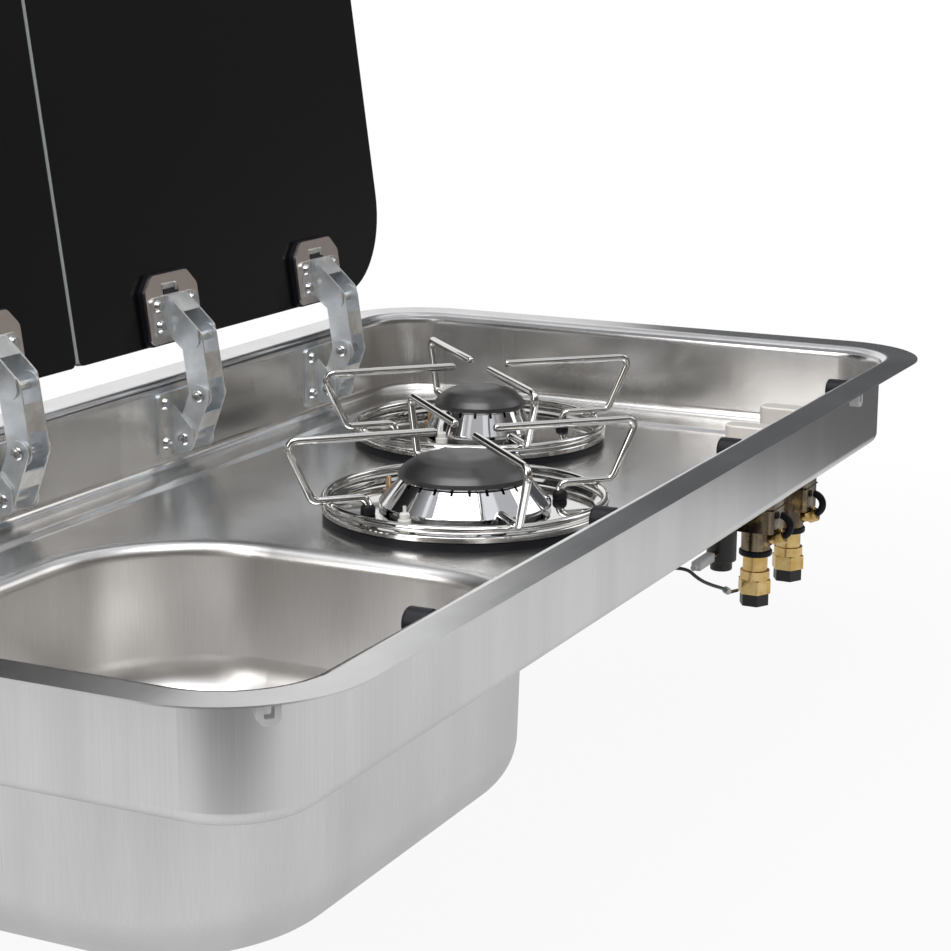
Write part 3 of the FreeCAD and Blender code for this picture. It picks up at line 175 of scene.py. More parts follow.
# finishes. A noise is given by its scale, detail, roughness and stretch, a bump by its strength and depth,
# and a span is where one look fades into the next
steelLook = {
    "dark": (0.65, 0.65, 0.65), "light": (0.79, 0.79, 0.793), "toneSpan": (0.38, 0.80),
    # the inner tones are painted shade: the same steel made darker and warmer on the inner walls
    "shadedInnerDark": (0.60, 0.585, 0.565), "shadedInnerLight": (0.755, 0.737, 0.712), "flatSpan": (0.35, 0.8),
    "lineScale": 1300, "lineDetail": (4, 0.6), "stretch": 0.01, "lineShare": 0.3, "bump": (0.012, 0.0003),
    "broad": (34, 2, 0.5, (1, 1, 0.06)), "broadShare": 0.35, "cloud": (6, 4, 0.6), "cloudShare": 0.5,
    "rough": 0.14, "lineRough": 0.10, "cloudRough": 0.10, "centre": (0, 0, 0), "facingSpan": (-0.02, 0.06),
    "depthSpan": (-0.014, -0.004), "rimInner": (0.380, 0.155), "rimSpan": (-0.004, -0.002), "rimFall": 0.11,
}
bowlLook = {**steelLook, "rough": 0.20, "lineScale": 1500, "centre": (-0.228, 0, 0)}


# the pressed rim falls a little towards its outer edge
def rimFall(g, look):
    along, across, height = (g.part(g.coords(), axis) for axis in range(3))
    past = [(abs(side) - inner).maths("MAXIMUM", 0.0)
            for side, inner in zip((along, across), look["rimInner"])]
    out = (past[0] * past[0] + past[1] * past[1]).maths("SQRT")
    return g.bump(out * height.fade(*look["rimSpan"]) * -look["rimFall"], 1.0, 1.0)


# where the painted shade goes: one on the inner walls of the pan and the bowl, nought on their outer walls
# and the rim
def innerShadeShare(g, look):
    place = g.node("ShaderNodeVectorMath", {"operation": "SUBTRACT"}, [g.coords(), look["centre"]])
    outward = g.node("ShaderNodeVectorMath", {"operation": "DOT_PRODUCT"}, [g.coords("Normal"), place], 1)
    return outward.fall(*look["facingSpan"]) * g.part(g.coords(), 2).fall(*look["depthSpan"])


# brushed along the flats and down the walls, with painted shade making the inner walls darker and warmer than
# the outer ones
def brushedSteel(g, look=steelLook):
    upward = abs(g.part(g.coords("Normal"), 2)).fade(*look["flatSpan"])
    flatLines = g.noise(look["lineScale"], *look["lineDetail"], (look["stretch"], 1, 1))
    wallLines = g.noise(look["lineScale"], *look["lineDetail"], (1, 1, look["stretch"]))
    lines = flatLines * upward + wallLines * (1 - upward)
    broad = g.noise(*look["broad"])
    cloud = g.noise(*look["cloud"])
    tone = lines * look["lineShare"] + cloud * look["cloudShare"] + broad * look["broadShare"]
    tone = tone.fade(*look["toneSpan"])
    rough = lines * look["lineRough"] + cloud * look["cloudRough"] + look["rough"]
    outer = g.blend(tone, look["dark"], look["light"])
    # painted shade: the inner walls take the darker, warmer tones
    inner = g.blend(tone, look["shadedInnerDark"], look["shadedInnerLight"])
    colour = g.blend(innerShadeShare(g, look) * (1 - upward), outer, inner)
    return g.shader(Base_Color=colour, Metallic=1.0, Roughness=rough,
                    Normal=g.bump(lines, *look["bump"], Normal=rimFall(g, look)))


def bowlSteel(g):
    return brushedSteel(g, bowlLook)


chromeLook = {"dark": (0.60, 0.595, 0.575), "light": (0.76, 0.755, 0.74), "smudge": (26, 4, 0.6),
              "smudgeSpan": (0.45, 0.75), "rough": (0.04, 0.12)}


def polishedChrome(g):
    smudge = g.noise(*chromeLook["smudge"])
    tone = g.blend(smudge, chromeLook["dark"], chromeLook["light"])
    rough = smudge.fade(*chromeLook["smudgeSpan"], *chromeLook["rough"])
    return g.shader(Base_Color=tone, Metallic=1.0, Roughness=rough)


crownLook = {"dark": (0.68, 0.685, 0.705), "light": (0.81, 0.815, 0.83), "smudge": (40, 4, 0.6),
             "smudgeSpan": (0.4, 0.8), "rough": (0.03, 0.08), "turning": (900, 2, 0.5, (0.05, 0.05, 1)),
             "turningRough": 0.02}


def crownAlloy(g):
    smudge = g.noise(*crownLook["smudge"])
    turning = g.noise(*crownLook["turning"])
    tone = g.blend(smudge, crownLook["dark"], crownLook["light"])
    rough = smudge.fade(*crownLook["smudgeSpan"], *crownLook["rough"]) + turning * crownLook["turningRough"]
    return g.shader(Base_Color=tone, Metallic=1.0, Roughness=rough)


zincLook = {
    "shade": (0.70, 0.75, 0.80), "pale": (0.88, 0.915, 0.945), "warmDark": (0.62, 0.59, 0.54),
    "warmPale": (0.87, 0.85, 0.80), "patch": (60, 4, 0.65), "patchSpan": (0.3, 0.72),
    "frontSheenSpan": (-0.85, -0.45), "frontSheenShare": 0.85, "stain": (38, 2), "stainSpan": (0.60, 0.76),
    "stainShare": 0.4, "drawn": (420, 3, 0.6, (0.06, 1, 1)), "rough": 0.28, "drawnRough": 0.18,
    "patchRough": 0.15, "bump": (0.08, 0.0004),
}


# bluish plate, yellowed in patches of stain, with a painted warm reflection on the webs that face the front
def zincPlate(g):
    drawn = g.noise(*zincLook["drawn"])
    patch = g.noise(*zincLook["patch"])
    mottle = patch.fade(*zincLook["patchSpan"])
    cool = g.blend(mottle, zincLook["shade"], zincLook["pale"])
    warm = g.blend(mottle, zincLook["warmDark"], zincLook["warmPale"])
    # painted reflection: faces turned to the front take the warm tones
    paintedFrontSheen = g.part(g.coords("Normal"), 1).fall(*zincLook["frontSheenSpan"])
    stain = g.noise(*zincLook["stain"]).fade(*zincLook["stainSpan"])
    tone = g.blend((paintedFrontSheen * zincLook["frontSheenShare"] + stain * zincLook["stainShare"]).capped(), cool, warm)
    rough = drawn * zincLook["drawnRough"] + patch * zincLook["patchRough"] + zincLook["rough"]
    return g.shader(Base_Color=tone, Metallic=1.0, Roughness=rough,
                    Normal=g.bump(drawn + patch, *zincLook["bump"]))


coverLook = {"dark": (0.66, 0.58, 0.53), "light": (0.84, 0.76, 0.71), "lines": (700, 3, 0.6, (1, 0.02, 1)),
             "lineShare": 0.2, "cloud": (22, 3), "cloudShare": 0.8, "rough": 0.22, "lineRough": 0.05,
             "cloudRough": 0.12}


def coverSteel(g):
    lines = g.noise(*coverLook["lines"])
    cloud = g.noise(*coverLook["cloud"])
    share = lines * coverLook["lineShare"] + cloud * coverLook["cloudShare"]
    rough = lines * coverLook["lineRough"] + cloud * coverLook["cloudRough"] + coverLook["rough"]
    return g.shader(Base_Color=g.blend(share, coverLook["dark"], coverLook["light"]), Metallic=1.0,
                    Roughness=rough)


glassLook = {
    # the edge tone is a painted highlight on the side edges of the glass
    "face": (0.0042, 0.0040, 0.0042), "dust": (0.30, 0.30, 0.29), "edge": (0.50, 0.52, 0.52),
    "speckScale": 120, "speckSpan": (0.0, 0.045), "dusty": (14, 1), "dustySpan": (0.55, 0.7),
    "dustShare": 0.35, "edgeHighlightSpan": (0.6, 0.95), "haze": (9, 3), "rough": 0.16, "hazeRough": 0.10,
    "dustRough": 0.3, "specular": 0.17,
}


# black on the faces, with a painted highlight making the edges at the sides pale
def blackGlass(g):
    dusty = g.noise(*glassLook["dusty"]).fade(*glassLook["dustySpan"])
    dust = g.cells(glassLook["speckScale"]).fall(*glassLook["speckSpan"]) * dusty
    sideEdgeHighlight = abs(g.part(g.coords("Normal"), 0)).fade(*glassLook["edgeHighlightSpan"])
    haze = g.noise(*glassLook["haze"])
    face = g.blend(dust * glassLook["dustShare"], glassLook["face"], glassLook["dust"])
    rough = haze * glassLook["hazeRough"] + dust * glassLook["dustRough"] + glassLook["rough"]
    return g.shader(Base_Color=g.blend(sideEdgeHighlight, face, glassLook["edge"]), Roughness=rough,
                    Specular_IOR_Level=glassLook["specular"])


knobLook = {
    # the top tone is painted shade and the rim tone a painted highlight on the one plastic
    "side": (0.63, 0.585, 0.545), "top": (0.52, 0.495, 0.47), "rim": (0.78, 0.755, 0.73),
    "shadedTopSpan": (0.93, 0.995), "rimFrom": (0.25, 0.6), "rimTo": (0.80, 0.97), "rimShare": 0.9,
    "cloud": (35, 3), "cloudShare": 0.12, "grain": (1100, 2, 0.6), "rough": 0.34, "grainRough": 0.12,
    "bump": (0.06, 0.0004),
}


# painted highlight: the rounded edge round the top is paler than the top and the sides; painted shade: the
# top is darker than the sides
def knobPlastic(g):
    grain = g.noise(*knobLook["grain"])
    cloud = g.noise(*knobLook["cloud"])
    up = g.part(g.coords("Normal"), 2)
    body = g.blend(up.fade(*knobLook["shadedTopSpan"]), knobLook["side"], knobLook["top"])
    rim = up.fade(*knobLook["rimFrom"]) * up.fall(*knobLook["rimTo"])
    share = (rim * knobLook["rimShare"] + cloud * knobLook["cloudShare"]).capped()
    return g.shader(Base_Color=g.blend(share, body, knobLook["rim"]),
                    Roughness=grain * knobLook["grainRough"] + knobLook["rough"],
                    Normal=g.bump(grain, *knobLook["bump"]))


bronzeLook = {
    "dark": (0.10, 0.075, 0.055), "brown": (0.30, 0.235, 0.16), "worn": (0.62, 0.45, 0.17),
    "streak": (160, 3, 0.6, (1, 1, 0.2)), "streakSpan": (0.35, 0.7), "stain": (70, 5, 0.7),
    "stainSpan": (0.52, 0.72), "rough": 0.16, "stainRough": 0.2, "bump": (0.10, 0.0005),
}


def bronzedBrass(g):
    stain = g.noise(*bronzeLook["stain"])
    streak = g.noise(*bronzeLook["streak"])
    brown = g.blend(streak.fade(*bronzeLook["streakSpan"]), bronzeLook["dark"], bronzeLook["brown"])
    tone = g.blend(stain.fade(*bronzeLook["stainSpan"]), brown, bronzeLook["worn"])
    rough = stain * bronzeLook["stainRough"] + bronzeLook["rough"]
    return g.shader(Base_Color=tone, Metallic=1.0, Roughness=rough,
                    Normal=g.bump(streak, *bronzeLook["bump"]))


castLook = {
    "dark": (0.42, 0.42, 0.43), "light": (0.62, 0.62, 0.63), "upperDarkTone": (0.012, 0.012, 0.013),
    "upperDarkSpan": (-0.0535, -0.052), "upperMetalDrop": 0.8, "grain": (500, 4, 0.65), "rough": 0.34,
    "grainRough": 0.2, "bump": (0.2, 0.0006),
}


# bare metal low down, near black and less metallic above
def castAlloy(g):
    grain = g.noise(*castLook["grain"])
    upperDark = g.part(g.coords(), 2).fade(*castLook["upperDarkSpan"])
    metal = g.blend(grain, castLook["dark"], castLook["light"])
    tone = g.blend(upperDark, metal, castLook["upperDarkTone"])
    return g.shader(Base_Color=tone, Metallic=1 - upperDark * castLook["upperMetalDrop"],
                    Roughness=grain * castLook["grainRough"] + castLook["rough"],
                    Normal=g.bump(grain, *castLook["bump"]))


# plain finishes: a cloud mixes the two tones, and a fine grain gives the gloss and the bump
plainLooks = {
    "blackEnamel": {"tones": ((0.012, 0.012, 0.013), (0.026, 0.0255, 0.026)), "cloud": (40, 4, 0.6),
                    "grain": (900, 3, 0.7), "rough": 0.27, "cloudRough": 0.08, "grainRough": 0.14,
                    "bump": (0.14, 0.0006), "sockets": {"Specular_IOR_Level": 0.9}},
    "blackRubber": {"tones": ((0.004, 0.0045, 0.007), (0.012, 0.0125, 0.017)), "cloud": (50, 3),
                    "grain": (700, 3, 0.6), "rough": 0.34, "grainRough": 0.2, "bump": (0.12, 0.0005),
                    "sockets": {"Specular_IOR_Level": 0.22}},
    "palePlastic": {"tones": ((0.58, 0.58, 0.585), (0.74, 0.74, 0.74)), "cloud": (60, 3),
                    "grain": (900, 2, 0.6), "rough": 0.3, "grainRough": 0.15, "bump": (0.05, 0.0004)},
    "blackPlastic": {"tones": ((0.008, 0.008, 0.010), (0.022, 0.022, 0.025)), "cloud": (70, 3),
                     "grain": (800, 3, 0.6), "rough": 0.26, "grainRough": 0.2, "bump": (0.08, 0.0005)},
    "drainPlastic": {"tones": ((0.07, 0.07, 0.073), (0.12, 0.12, 0.125)), "cloud": (40, 3),
                     "grain": (700, 3, 0.6), "rough": 0.35, "grainRough": 0.2, "bump": (0.08, 0.0005)},
    "leadSleeve": {"tones": ((0.012, 0.012, 0.014), (0.03, 0.03, 0.033)), "cloud": (90, 3),
                   "grain": (900, 3, 0.6), "rough": 0.28, "grainRough": 0.15, "bump": (0.05, 0.0003)},
    "machinedBrass": {"tones": ((0.62, 0.40, 0.13), (0.86, 0.64, 0.30)), "cloud": (90, 4, 0.65),
                      "toneSpan": (0.3, 0.75), "grain": (900, 3, 0.6, (0.03, 0.03, 1)), "rough": 0.10,
                      "cloudRough": 0.12, "grainRough": 0.16, "bump": (0.10, 0.0004),
                      "sockets": {"Metallic": 1.0}},
    "drawnPipe": {"tones": ((0.50, 0.505, 0.51), (0.68, 0.685, 0.69)), "cloud": (500, 3, 0.6),
                  "grain": (500, 3, 0.6), "rough": 0.2, "grainRough": 0.16, "bump": (0.06, 0.0004),
                  "sockets": {"Metallic": 1.0}},
    "turnedSteel": {"tones": ((0.50, 0.51, 0.52), (0.74, 0.745, 0.75)), "cloud": (700, 3, 0.6),
                    "grain": (700, 3, 0.6), "rough": 0.14, "grainRough": 0.16, "bump": (0.05, 0.0004),
                    "sockets": {"Metallic": 1.0}},
    "probeCopper": {"tones": ((0.36, 0.20, 0.10), (0.62, 0.42, 0.25)), "cloud": (150, 4, 0.6), "rough": 0.20,
                    "cloudRough": 0.2, "sockets": {"Metallic": 1.0}},
    "glazedCeramic": {"tones": ((0.66, 0.645, 0.61), (0.80, 0.785, 0.755)), "cloud": (120, 3), "rough": 0.16,
                      "cloudRough": 0.1, "sockets": {"IOR": 1.55}},
}


def plainFinish(look):
    def build(g):
        cloud = g.noise(*look["cloud"])
        share = cloud.fade(*look["toneSpan"]) if "toneSpan" in look else cloud
        rough = cloud * look.get("cloudRough", 0.0) + look["rough"]
        sockets = dict(look.get("sockets", {}))
        if "grain" in look:
            grain = g.noise(*look["grain"])
            rough = rough + grain * look["grainRough"]
            sockets["Normal"] = g.bump(grain, *look["bump"])
        return g.shader(Base_Color=g.blend(share, *look["tones"]), Roughness=rough, **sockets)

    return build


finishes = {build.__name__: newFinish(build.__name__, build) for build in (
    brushedSteel, bowlSteel, polishedChrome, crownAlloy, zincPlate, coverSteel, blackGlass, knobPlastic,
    bronzedBrass, castAlloy)}
for name, look in plainLooks.items():
    finishes[name] = newFinish(name, plainFinish(look))
print("finishes made,", len(finishes))


# shapes for the small pieces, in millimetres about their own origin
def turnedShape(profile, closed=False, steps=24):
    bm = bmesh.new()
    verts = [bm.verts.new((r * mm, 0, z * mm)) for r, z in profile]
    loop = verts + verts[:1] if closed else verts
    edges = [bm.edges.new(pair) for pair in zip(loop, loop[1:])]
    bmesh.ops.spin(bm, geom=verts + edges, cent=(0, 0, 0), axis=(0, 0, 1), angle=math.tau, steps=steps,
                   use_merge=True)
    return bm


def roundEdges(bm, edge, segments):
    bmesh.ops.bevel(bm, geom=bm.edges[:], offset=edge * mm, affect="EDGES", segments=segments, profile=0.5,
                    material=-1)


def blockShape(size, edge):
    bm = bmesh.new()
    bmesh.ops.create_cube(bm, size=mm)
    bmesh.ops.scale(bm, verts=bm.verts, vec=size)
    roundEdges(bm, edge, 3)
    return bm


def hexShape(flats, length, edge):
    bm = bmesh.new()
    radius = flats / math.sqrt(3) * mm
    bmesh.ops.create_cone(bm, cap_ends=True, segments=6, radius1=radius, radius2=radius, depth=length * mm)
    roundEdges(bm, edge, 2)
    return bm


def bentTube(radius, bend, angle):
    bm = bmesh.new()
    bmesh.ops.create_circle(bm, cap_ends=True, segments=18, radius=radius * mm)
    bmesh.ops.spin(bm, geom=bm.verts[:] + bm.edges[:] + bm.faces[:], cent=(bend * mm, 0, 0), axis=(0, 1, 0),
                   angle=math.radians(angle), steps=14)
    return bm


def joinShape(bm, shape, place):
    bmesh.ops.remove_doubles(shape, verts=shape.verts, dist=1e-6)
    bmesh.ops.recalc_face_normals(shape, faces=shape.faces)
    shape.transform(place)
    mesh = bpy.data.meshes.new("shape")
    shape.to_mesh(mesh)
    shape.free()
    bm.from_mesh(mesh)
    bpy.data.meshes.remove(mesh)


def finishPiece(name, bm, body, finish, smooth=40):
    mesh = bpy.data.meshes.new(name)
    bm.to_mesh(mesh)
    bm.free()
    mesh.shade_smooth()
    mesh.set_sharp_from_angle(angle=math.radians(smooth))
    mesh.materials.append(finishes[finish])
    piece = bpy.data.objects.new(name, mesh)
    bpy.context.scene.collection.objects.link(piece)
    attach(piece, body)
    return piece


def at(x, y, z, turn=0, axis="X"):
    return Matrix.Translation((x * mm, y * mm, z * mm)) @ Matrix.Rotation(math.radians(turn), 4, axis)


# ignition lead, a sleeved wire under the deck, with a pale ferrule near its far end
leadLook = {"radius": 0.0011, "length": 0.289, "ferruleAt": (200.5, -156, -120.9), "ferruleTurn": 115,
            "ferrule": [(1.0, -3.2), (2.0, -3.2), (2.3, -2.6), (2.3, 2.0), (1.8, 3.2), (1.0, 3.2)]}
leadRoute = [(0.029246, -0.017149, -0.0728), (0.029246, -0.017149, -0.0828), (0.038246, -0.027149, -0.0908),
             (0.058246, -0.054149, -0.0955), (0.100246, -0.090149, -0.0972), (0.1335, -0.125, -0.0955),
             (0.1535, -0.145, -0.0950), (0.163, -0.151, -0.105), (0.178, -0.154, -0.112),
             (0.1925, -0.157, -0.1175), (0.2075, -0.1545, -0.1240), (0.2250, -0.1490, -0.1292),
             (0.2425, -0.1480, -0.1325)]


def makeLead():
    curve = bpy.data.curves.new("lead", "CURVE")
    curve.dimensions = "3D"
    curve.bevel_depth = leadLook["radius"]
    curve.bevel_resolution = 4
    curve.resolution_u = 12
    spline = curve.splines.new("NURBS")
    spline.points.add(len(leadRoute) - 1)
    for point, place in zip(spline.points, leadRoute):
        point.co = (*place, 1)
    spline.order_u = 3
    spline.use_endpoint_u = True
    curve.materials.append(finishes["leadSleeve"])
    lead = bpy.data.objects.new("lead", curve)
    bpy.context.scene.collection.objects.link(lead)
    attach(lead, "tray")
    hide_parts("ignition_lead")
    ferrule = bmesh.new()
    joinShape(ferrule, turnedShape(leadLook["ferrule"], closed=True),
              at(*leadLook["ferruleAt"], leadLook["ferruleTurn"], "Y"))
    sleeve = finishPiece("lead_ferrule", ferrule, "tray", "palePlastic")


makeLead()
print("lead laid")

# hinge rivets, the hook at the top of each cover, and a thin black block painted as the shade in the slot
# beside it, whose blocks have a size, an edge and a place on the lid
hingeLook = {
    "hob": (118, 306), "sink": (-72, -312), "lidEdge": (200, 22), "lean": 82, "pivot": (185, -39),
    "pivotHead": 13.2, "knee": (174, -10), "kneeHead": 12.3,
    "rivet": [(0, 1.5), (1.6, 1.4), (3.0, 1.0), (3.9, 0.35), (4.1, 0.0), (4.1, -0.6), (0, -0.6)],
    "hook": [((12, 3.4, 1.2), 0.4, (-4.5, 37.2, 5.5)), ((1.6, 5.2, 2.4), 0.4, (3.2, 36.2, 6.0))],
    "slotShade": [((17, 3.6, 0.8), 0.2, (-1.5, 33.4, 5.15))],
}


def makeHingeDetail(lid):
    pivots, knees, hooks, slotShades = bmesh.new(), bmesh.new(), bmesh.new(), bmesh.new()
    for x in hingeLook[lid]:
        for side in (-1, 1):
            for bm, spot in ((pivots, "pivot"), (knees, "knee")):
                place = at(x + side * hingeLook[spot + "Head"], *hingeLook[spot], 90 * side, "Y")
                joinShape(bm, turnedShape(hingeLook["rivet"]), place)
        onLid = at(x, *hingeLook["lidEdge"], hingeLook["lean"])
        for bm, kind in ((hooks, "hook"), (slotShades, "slotShade")):
            for size, edge, place in hingeLook[kind]:
                joinShape(bm, blockShape(size, edge), onLid @ at(*place))
    finishPiece(lid + "_pivot_rivets", pivots, "tray", "turnedSteel")
    finishPiece(lid + "_knee_rivets", knees, lid + "_arms", "turnedSteel")
    finishPiece(lid + "_cover_hooks", hooks, lid + "_lid", "zincPlate")
    # the slot is a black block on the cover, painted shade in place of a cut
    finishPiece(lid + "_cover_slot_shades", slotShades, lid + "_lid", "blackPlastic")


for lid in ("hob", "sink"):
    makeHingeDetail(lid)

# seals round each valve, and the flame guard's union and tube beside it
valveLook = {
    "large": 250, "small": 317, "y": -157, "sealLevel": -107,
    "seal": [(9.3, -1.9), (10.2, -1.9), (10.8, -1.2), (10.8, 1.2), (10.2, 1.9), (9.3, 1.9)],
    "seamLevel": -76.2, "seamEdge": 0.3, "frontBar": (24.4, 1.0, 0.9), "frontOut": 14.7,
    "sideBar": (1.0, 30.4, 0.9), "sideOut": 11.7, "unionAt": (2, -8), "unionLevel": -99.5, "unionLean": 66,
    "stub": [(0, -4), (3.2, -4), (3.2, 5), (0, 5)], "hex": (9, 7, 0.5), "hexOut": 8, "tube": (2.4, 7, 150),
    "tubeOut": 11,
}


def makeValveDetail(size):
    x, y = valveLook[size], valveLook["y"]
    seal = bmesh.new()
    joinShape(seal, turnedShape(valveLook["seal"], closed=True, steps=32), at(x, y, valveLook["sealLevel"]))
    level, edge = valveLook["seamLevel"], valveLook["seamEdge"]
    for side in (-1, 1):
        front, flank = y + side * valveLook["frontOut"], x + side * valveLook["sideOut"]
        joinShape(seal, blockShape(valveLook["frontBar"], edge), at(x, front, level))
        joinShape(seal, blockShape(valveLook["sideBar"], edge), at(flank, y, level))
    finishPiece(size + "_valve_seal", seal, "tray", "blackRubber")
    union, tube = bmesh.new(), bmesh.new()
    dx, dy = valveLook["unionAt"]
    out = at(x + dx, y + dy, valveLook["unionLevel"], valveLook["unionLean"])
    joinShape(union, turnedShape(valveLook["stub"]), out)
    joinShape(union, hexShape(*valveLook["hex"]), out @ at(0, 0, valveLook["hexOut"]))
    joinShape(tube, bentTube(*valveLook["tube"]), out @ at(0, 0, valveLook["tubeOut"], 90, "Z"))
    finishPiece(size + "_probe_union", union, "tray", "machinedBrass", 30)
    finishPiece(size + "_probe_tube", tube, "tray", "blackRubber")


for size in ("large", "small"):
    makeValveDetail(size)

# plug-in terminal on the side of the igniter
terminalLook = {
    "y": -146, "z": -99, "sleeve": (26, 6.4, 6.0), "sleeveEdge": 1.2, "sleeveX": 183,
    "tail": [(0, -3), (1.9, -3), (1.9, 2.6), (1.5, 3), (0, 3)], "tailX": 168.5, "blade": (15, 4.6, 0.9),
    "bladeEdge": 0.2, "bladeX": 200.5,
}


def makeTerminal():
    sleeve, blade = bmesh.new(), bmesh.new()
    y, z = terminalLook["y"], terminalLook["z"]
    joinShape(sleeve, blockShape(terminalLook["sleeve"], terminalLook["sleeveEdge"]),
              at(terminalLook["sleeveX"], y, z))
    joinShape(sleeve, turnedShape(terminalLook["tail"], steps=20), at(terminalLook["tailX"], y, z, -90, "Y"))
    joinShape(blade, blockShape(terminalLook["blade"], terminalLook["bladeEdge"]),
              at(terminalLook["bladeX"], y, z))
    finishPiece("igniter_sleeve", sleeve, "tray", "palePlastic")
    finishPiece("igniter_blade", blade, "tray", "machinedBrass")


makeTerminal()
print("small pieces made")

# which finish each piece of the frame takes
dressing = {
    "brushedSteel": ["deck_pan"],
    "bowlSteel": ["sink_bowl"],
    "polishedChrome": ["waste_strainer"],
    "drainPlastic": ["waste_nut", "waste_elbow"],
    "blackRubber": ["sink_plug", "lid_bumpers"],
    "machinedBrass": ["inlet_fittings", "inlet_nuts", "pipe_nuts"],
    "blackPlastic": ["inlet_caps", "igniter_module"],
    "palePlastic": ["locating_tabs"],
    "zincPlate": ["hinge_wall_brackets"],
    "turnedSteel": ["hinge_wall_screws"],
    "leadSleeve": ["ignition_lead"],
}
burnerDressing = {"dish_gasket": "blackRubber", "dish": "polishedChrome", "burner_base": "castAlloy",
                  "burner_crown": "crownAlloy", "burner_cap": "blackEnamel", "electrode": "glazedCeramic",
                  "thermocouple": "probeCopper", "pan_support": "polishedChrome",
                  "support_feet": "blackRubber", "valve": "bronzedBrass", "push_collar": "turnedSteel",
                  "spindle": "turnedSteel", "knob": "knobPlastic", "gas_pipe": "drawnPipe"}
lidDressing = {"glass": "blackGlass", "gaskets": "blackRubber", "covers": "coverSteel",
               "brackets": "zincPlate", "screws": "turnedSteel", "lower_arms": "zincPlate",
               "links": "zincPlate", "knee_pins": "turnedSteel"}
for owners, pieces in ((("large", "small"), burnerDressing), (("hob_lid", "sink_lid"), lidDressing)):
    for owner in owners:
        for piece, finish in pieces.items():
            dressing.setdefault(finish, []).append("%s_%s" % (owner, piece))


def dress(name, finish):
    mesh = nodes[name].data
    mesh.materials.clear()
    mesh.materials.append(finishes[finish])


for finish, names in dressing.items():
    for name in names:
        dress(name, finish)
print("nodes dressed,", sum(len(names) for names in dressing.values()))

# studio floor: a sheet of white paper on a darker table, lit up where the camera or a mirror sees it
floorLook = {
    "level": cadBox[0].z - 0.0005, "size": 14.0, "paper": (0.42, 0.42, 0.423), "table": (0.12, 0.12, 0.122),
    "rough": 0.9, "sheetNear": (-1.10, -0.62), "sheetRight": (0.60, 1.00), "shine": 0.52, "whiteShare": 0.93,
    "whiteSpan": (0.45, 1.1),
}


def studioPaper(g):
    yaw = math.radians(cameraLook["yaw"])
    east, north = g.part(g.coords(), 0), g.part(g.coords(), 1)
    ahead = east * math.cos(yaw) + north * math.sin(yaw)
    sheet = ahead.fade(*floorLook["sheetNear"]) * east.fall(*floorLook["sheetRight"])
    seen = (g.ray("Camera") + g.ray("Glossy") * sheet * floorLook["shine"]).capped()
    away = g.node("ShaderNodeVectorMath", {"operation": "LENGTH"}, [g.coords()], 1)
    white = away.fade(*floorLook["whiteSpan"], floorLook["whiteShare"], 1.0) * seen
    matt = g.shader(Base_Color=g.blend(sheet, floorLook["table"], floorLook["paper"]),
                    Roughness=floorLook["rough"])
    glow = g.node("ShaderNodeEmission", inputs={"Color": (1, 1, 1, 1), "Strength": 1.0})
    return g.node("ShaderNodeMixShader", inputs=[white, matt, glow])


def makeFloor():
    mesh = bpy.data.meshes.new("studio_floor")
    bm = bmesh.new()
    bmesh.ops.create_grid(bm, x_segments=1, y_segments=1, size=floorLook["size"] / 2)
    bmesh.ops.translate(bm, verts=bm.verts, vec=(0, 0, floorLook["level"]))
    bm.to_mesh(mesh)
    bm.free()
    floor = bpy.data.objects.new("studio_floor", mesh)
    bpy.context.scene.collection.objects.link(floor)
    mesh.materials.append(newFinish("studioPaper", studioPaper))


# studio room: the camera sees white, and matt surfaces are lit by an even dome. Mirrors see white paper ahead
# with a dark flag over it, a dim room with a window behind the camera, a card at the right and strips above
roomLook = {
    "dome": (0.55, 0.55, 0.55), "room": (0.105, 0.095, 0.088), "window": (0.40, 0.355, 0.325),
    "windowSpan": (0.15, 0.60), "flag": (0.085, 0.087, 0.092), "flagSpan": (-0.4, 0.3),
    "card": (0.26, 0.245, 0.235), "cardFrom": (-1.1, -0.8), "cardTo": (-0.56, -0.42),
    "strip": (0.93, 0.94, 0.96), "between": (0.55, 0.55, 0.56), "stripSpan": (0.55, 0.72), "bandTurn": 1.7,
    "bandStart": 4.3, "bandSpan": (0.47, 0.53), "paperSpan": (-0.05, 0.30), "paperStep": (-0.088, -0.045),
    "paperTop": (-0.05, 0.62), "paperEdge": (-0.10, 0.10), "white": (1, 1, 1),
}


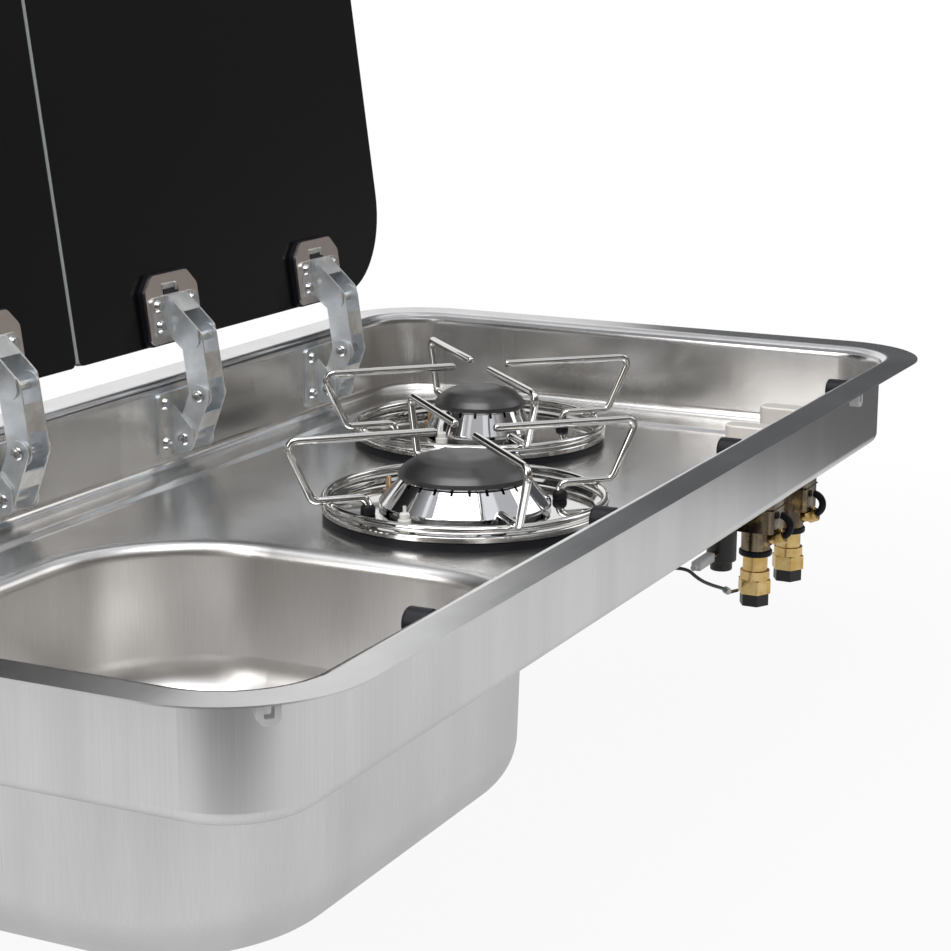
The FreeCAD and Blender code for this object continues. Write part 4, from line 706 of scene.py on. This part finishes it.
def makeWorld():
    world = bpy.data.worlds.new("studio")
    bpy.context.scene.world = world
    world.use_nodes = True
    g = Graph(world.node_tree)
    way = g.coords("Generated")
    east, north, height = (g.part(way, axis) for axis in range(3))
    yaw = math.radians(cameraLook["yaw"])
    ahead = east * math.cos(yaw) + north * math.sin(yaw)
    left = north * math.cos(yaw) - east * math.sin(yaw)
    top = left.fade(*roomLook["paperStep"], *roomLook["paperTop"])
    paper = ahead.fade(*roomLook["paperSpan"]) * (height - top).fall(*roomLook["paperEdge"])
    bearing = north.maths("ARCTAN2", east)
    bands = g.node("ShaderNodeTexNoise", {"noise_dimensions": "1D"},
                   {"W": bearing * roomLook["bandTurn"] + roomLook["bandStart"], "Scale": 1.0, "Detail": 1.0})
    strips = g.blend(bands.fade(*roomLook["bandSpan"]), roomLook["between"], roomLook["strip"])
    card = bearing.fade(*roomLook["cardFrom"]) * bearing.fall(*roomLook["cardTo"])
    behind = g.blend(left.fade(*roomLook["windowSpan"]), roomLook["room"], roomLook["window"])
    walls = g.blend(ahead.fade(*roomLook["flagSpan"]), behind, roomLook["flag"])
    sides = g.blend(card, walls, roomLook["card"])
    room = g.blend(height.fade(*roomLook["stripSpan"]), sides, strips)
    shown = g.blend(paper, room, roomLook["white"])
    mirrored = g.blend((g.ray("Glossy") + g.ray("Transmission")).capped(), roomLook["dome"], shown)
    colour = g.blend(g.ray("Camera"), mirrored, roomLook["white"])
    light = g.node("ShaderNodeBackground", inputs={"Color": colour, "Strength": 1.0})
    g.node("ShaderNodeOutputWorld", inputs=[light])


lamps = [
    {"name": "overhead", "at": (-0.6, -0.1, 1.8), "aim": (-0.1, 0.0, -0.1), "size": (1.6, 1.0), "power": 26},
    {"name": "left", "at": (-1.9, 0.9, 1.1), "aim": (-0.1, 0.0, 0.0), "size": (1.2, 1.2), "power": 18},
    {"name": "right", "at": (1.7, -1.3, 1.3), "aim": (0.2, 0.0, 0.0), "size": (1.2, 0.9), "power": 6},
]


def makeLamp(look):
    lamp = bpy.data.lights.new(look["name"], "AREA")
    lamp.shape = "RECTANGLE"
    lamp.size, lamp.size_y = look["size"]
    lamp.energy = look["power"]
    thing = bpy.data.objects.new(look["name"], lamp)
    bpy.context.scene.collection.objects.link(thing)
    thing.location = look["at"]
    thing.rotation_euler = (Vector(look["aim"]) - Vector(look["at"])).to_track_quat("-Z", "Y").to_euler()


makeFloor()
makeWorld()
for look in lamps:
    makeLamp(look)
bpy.context.scene.view_settings.view_transform = "Standard"
print("studio set")
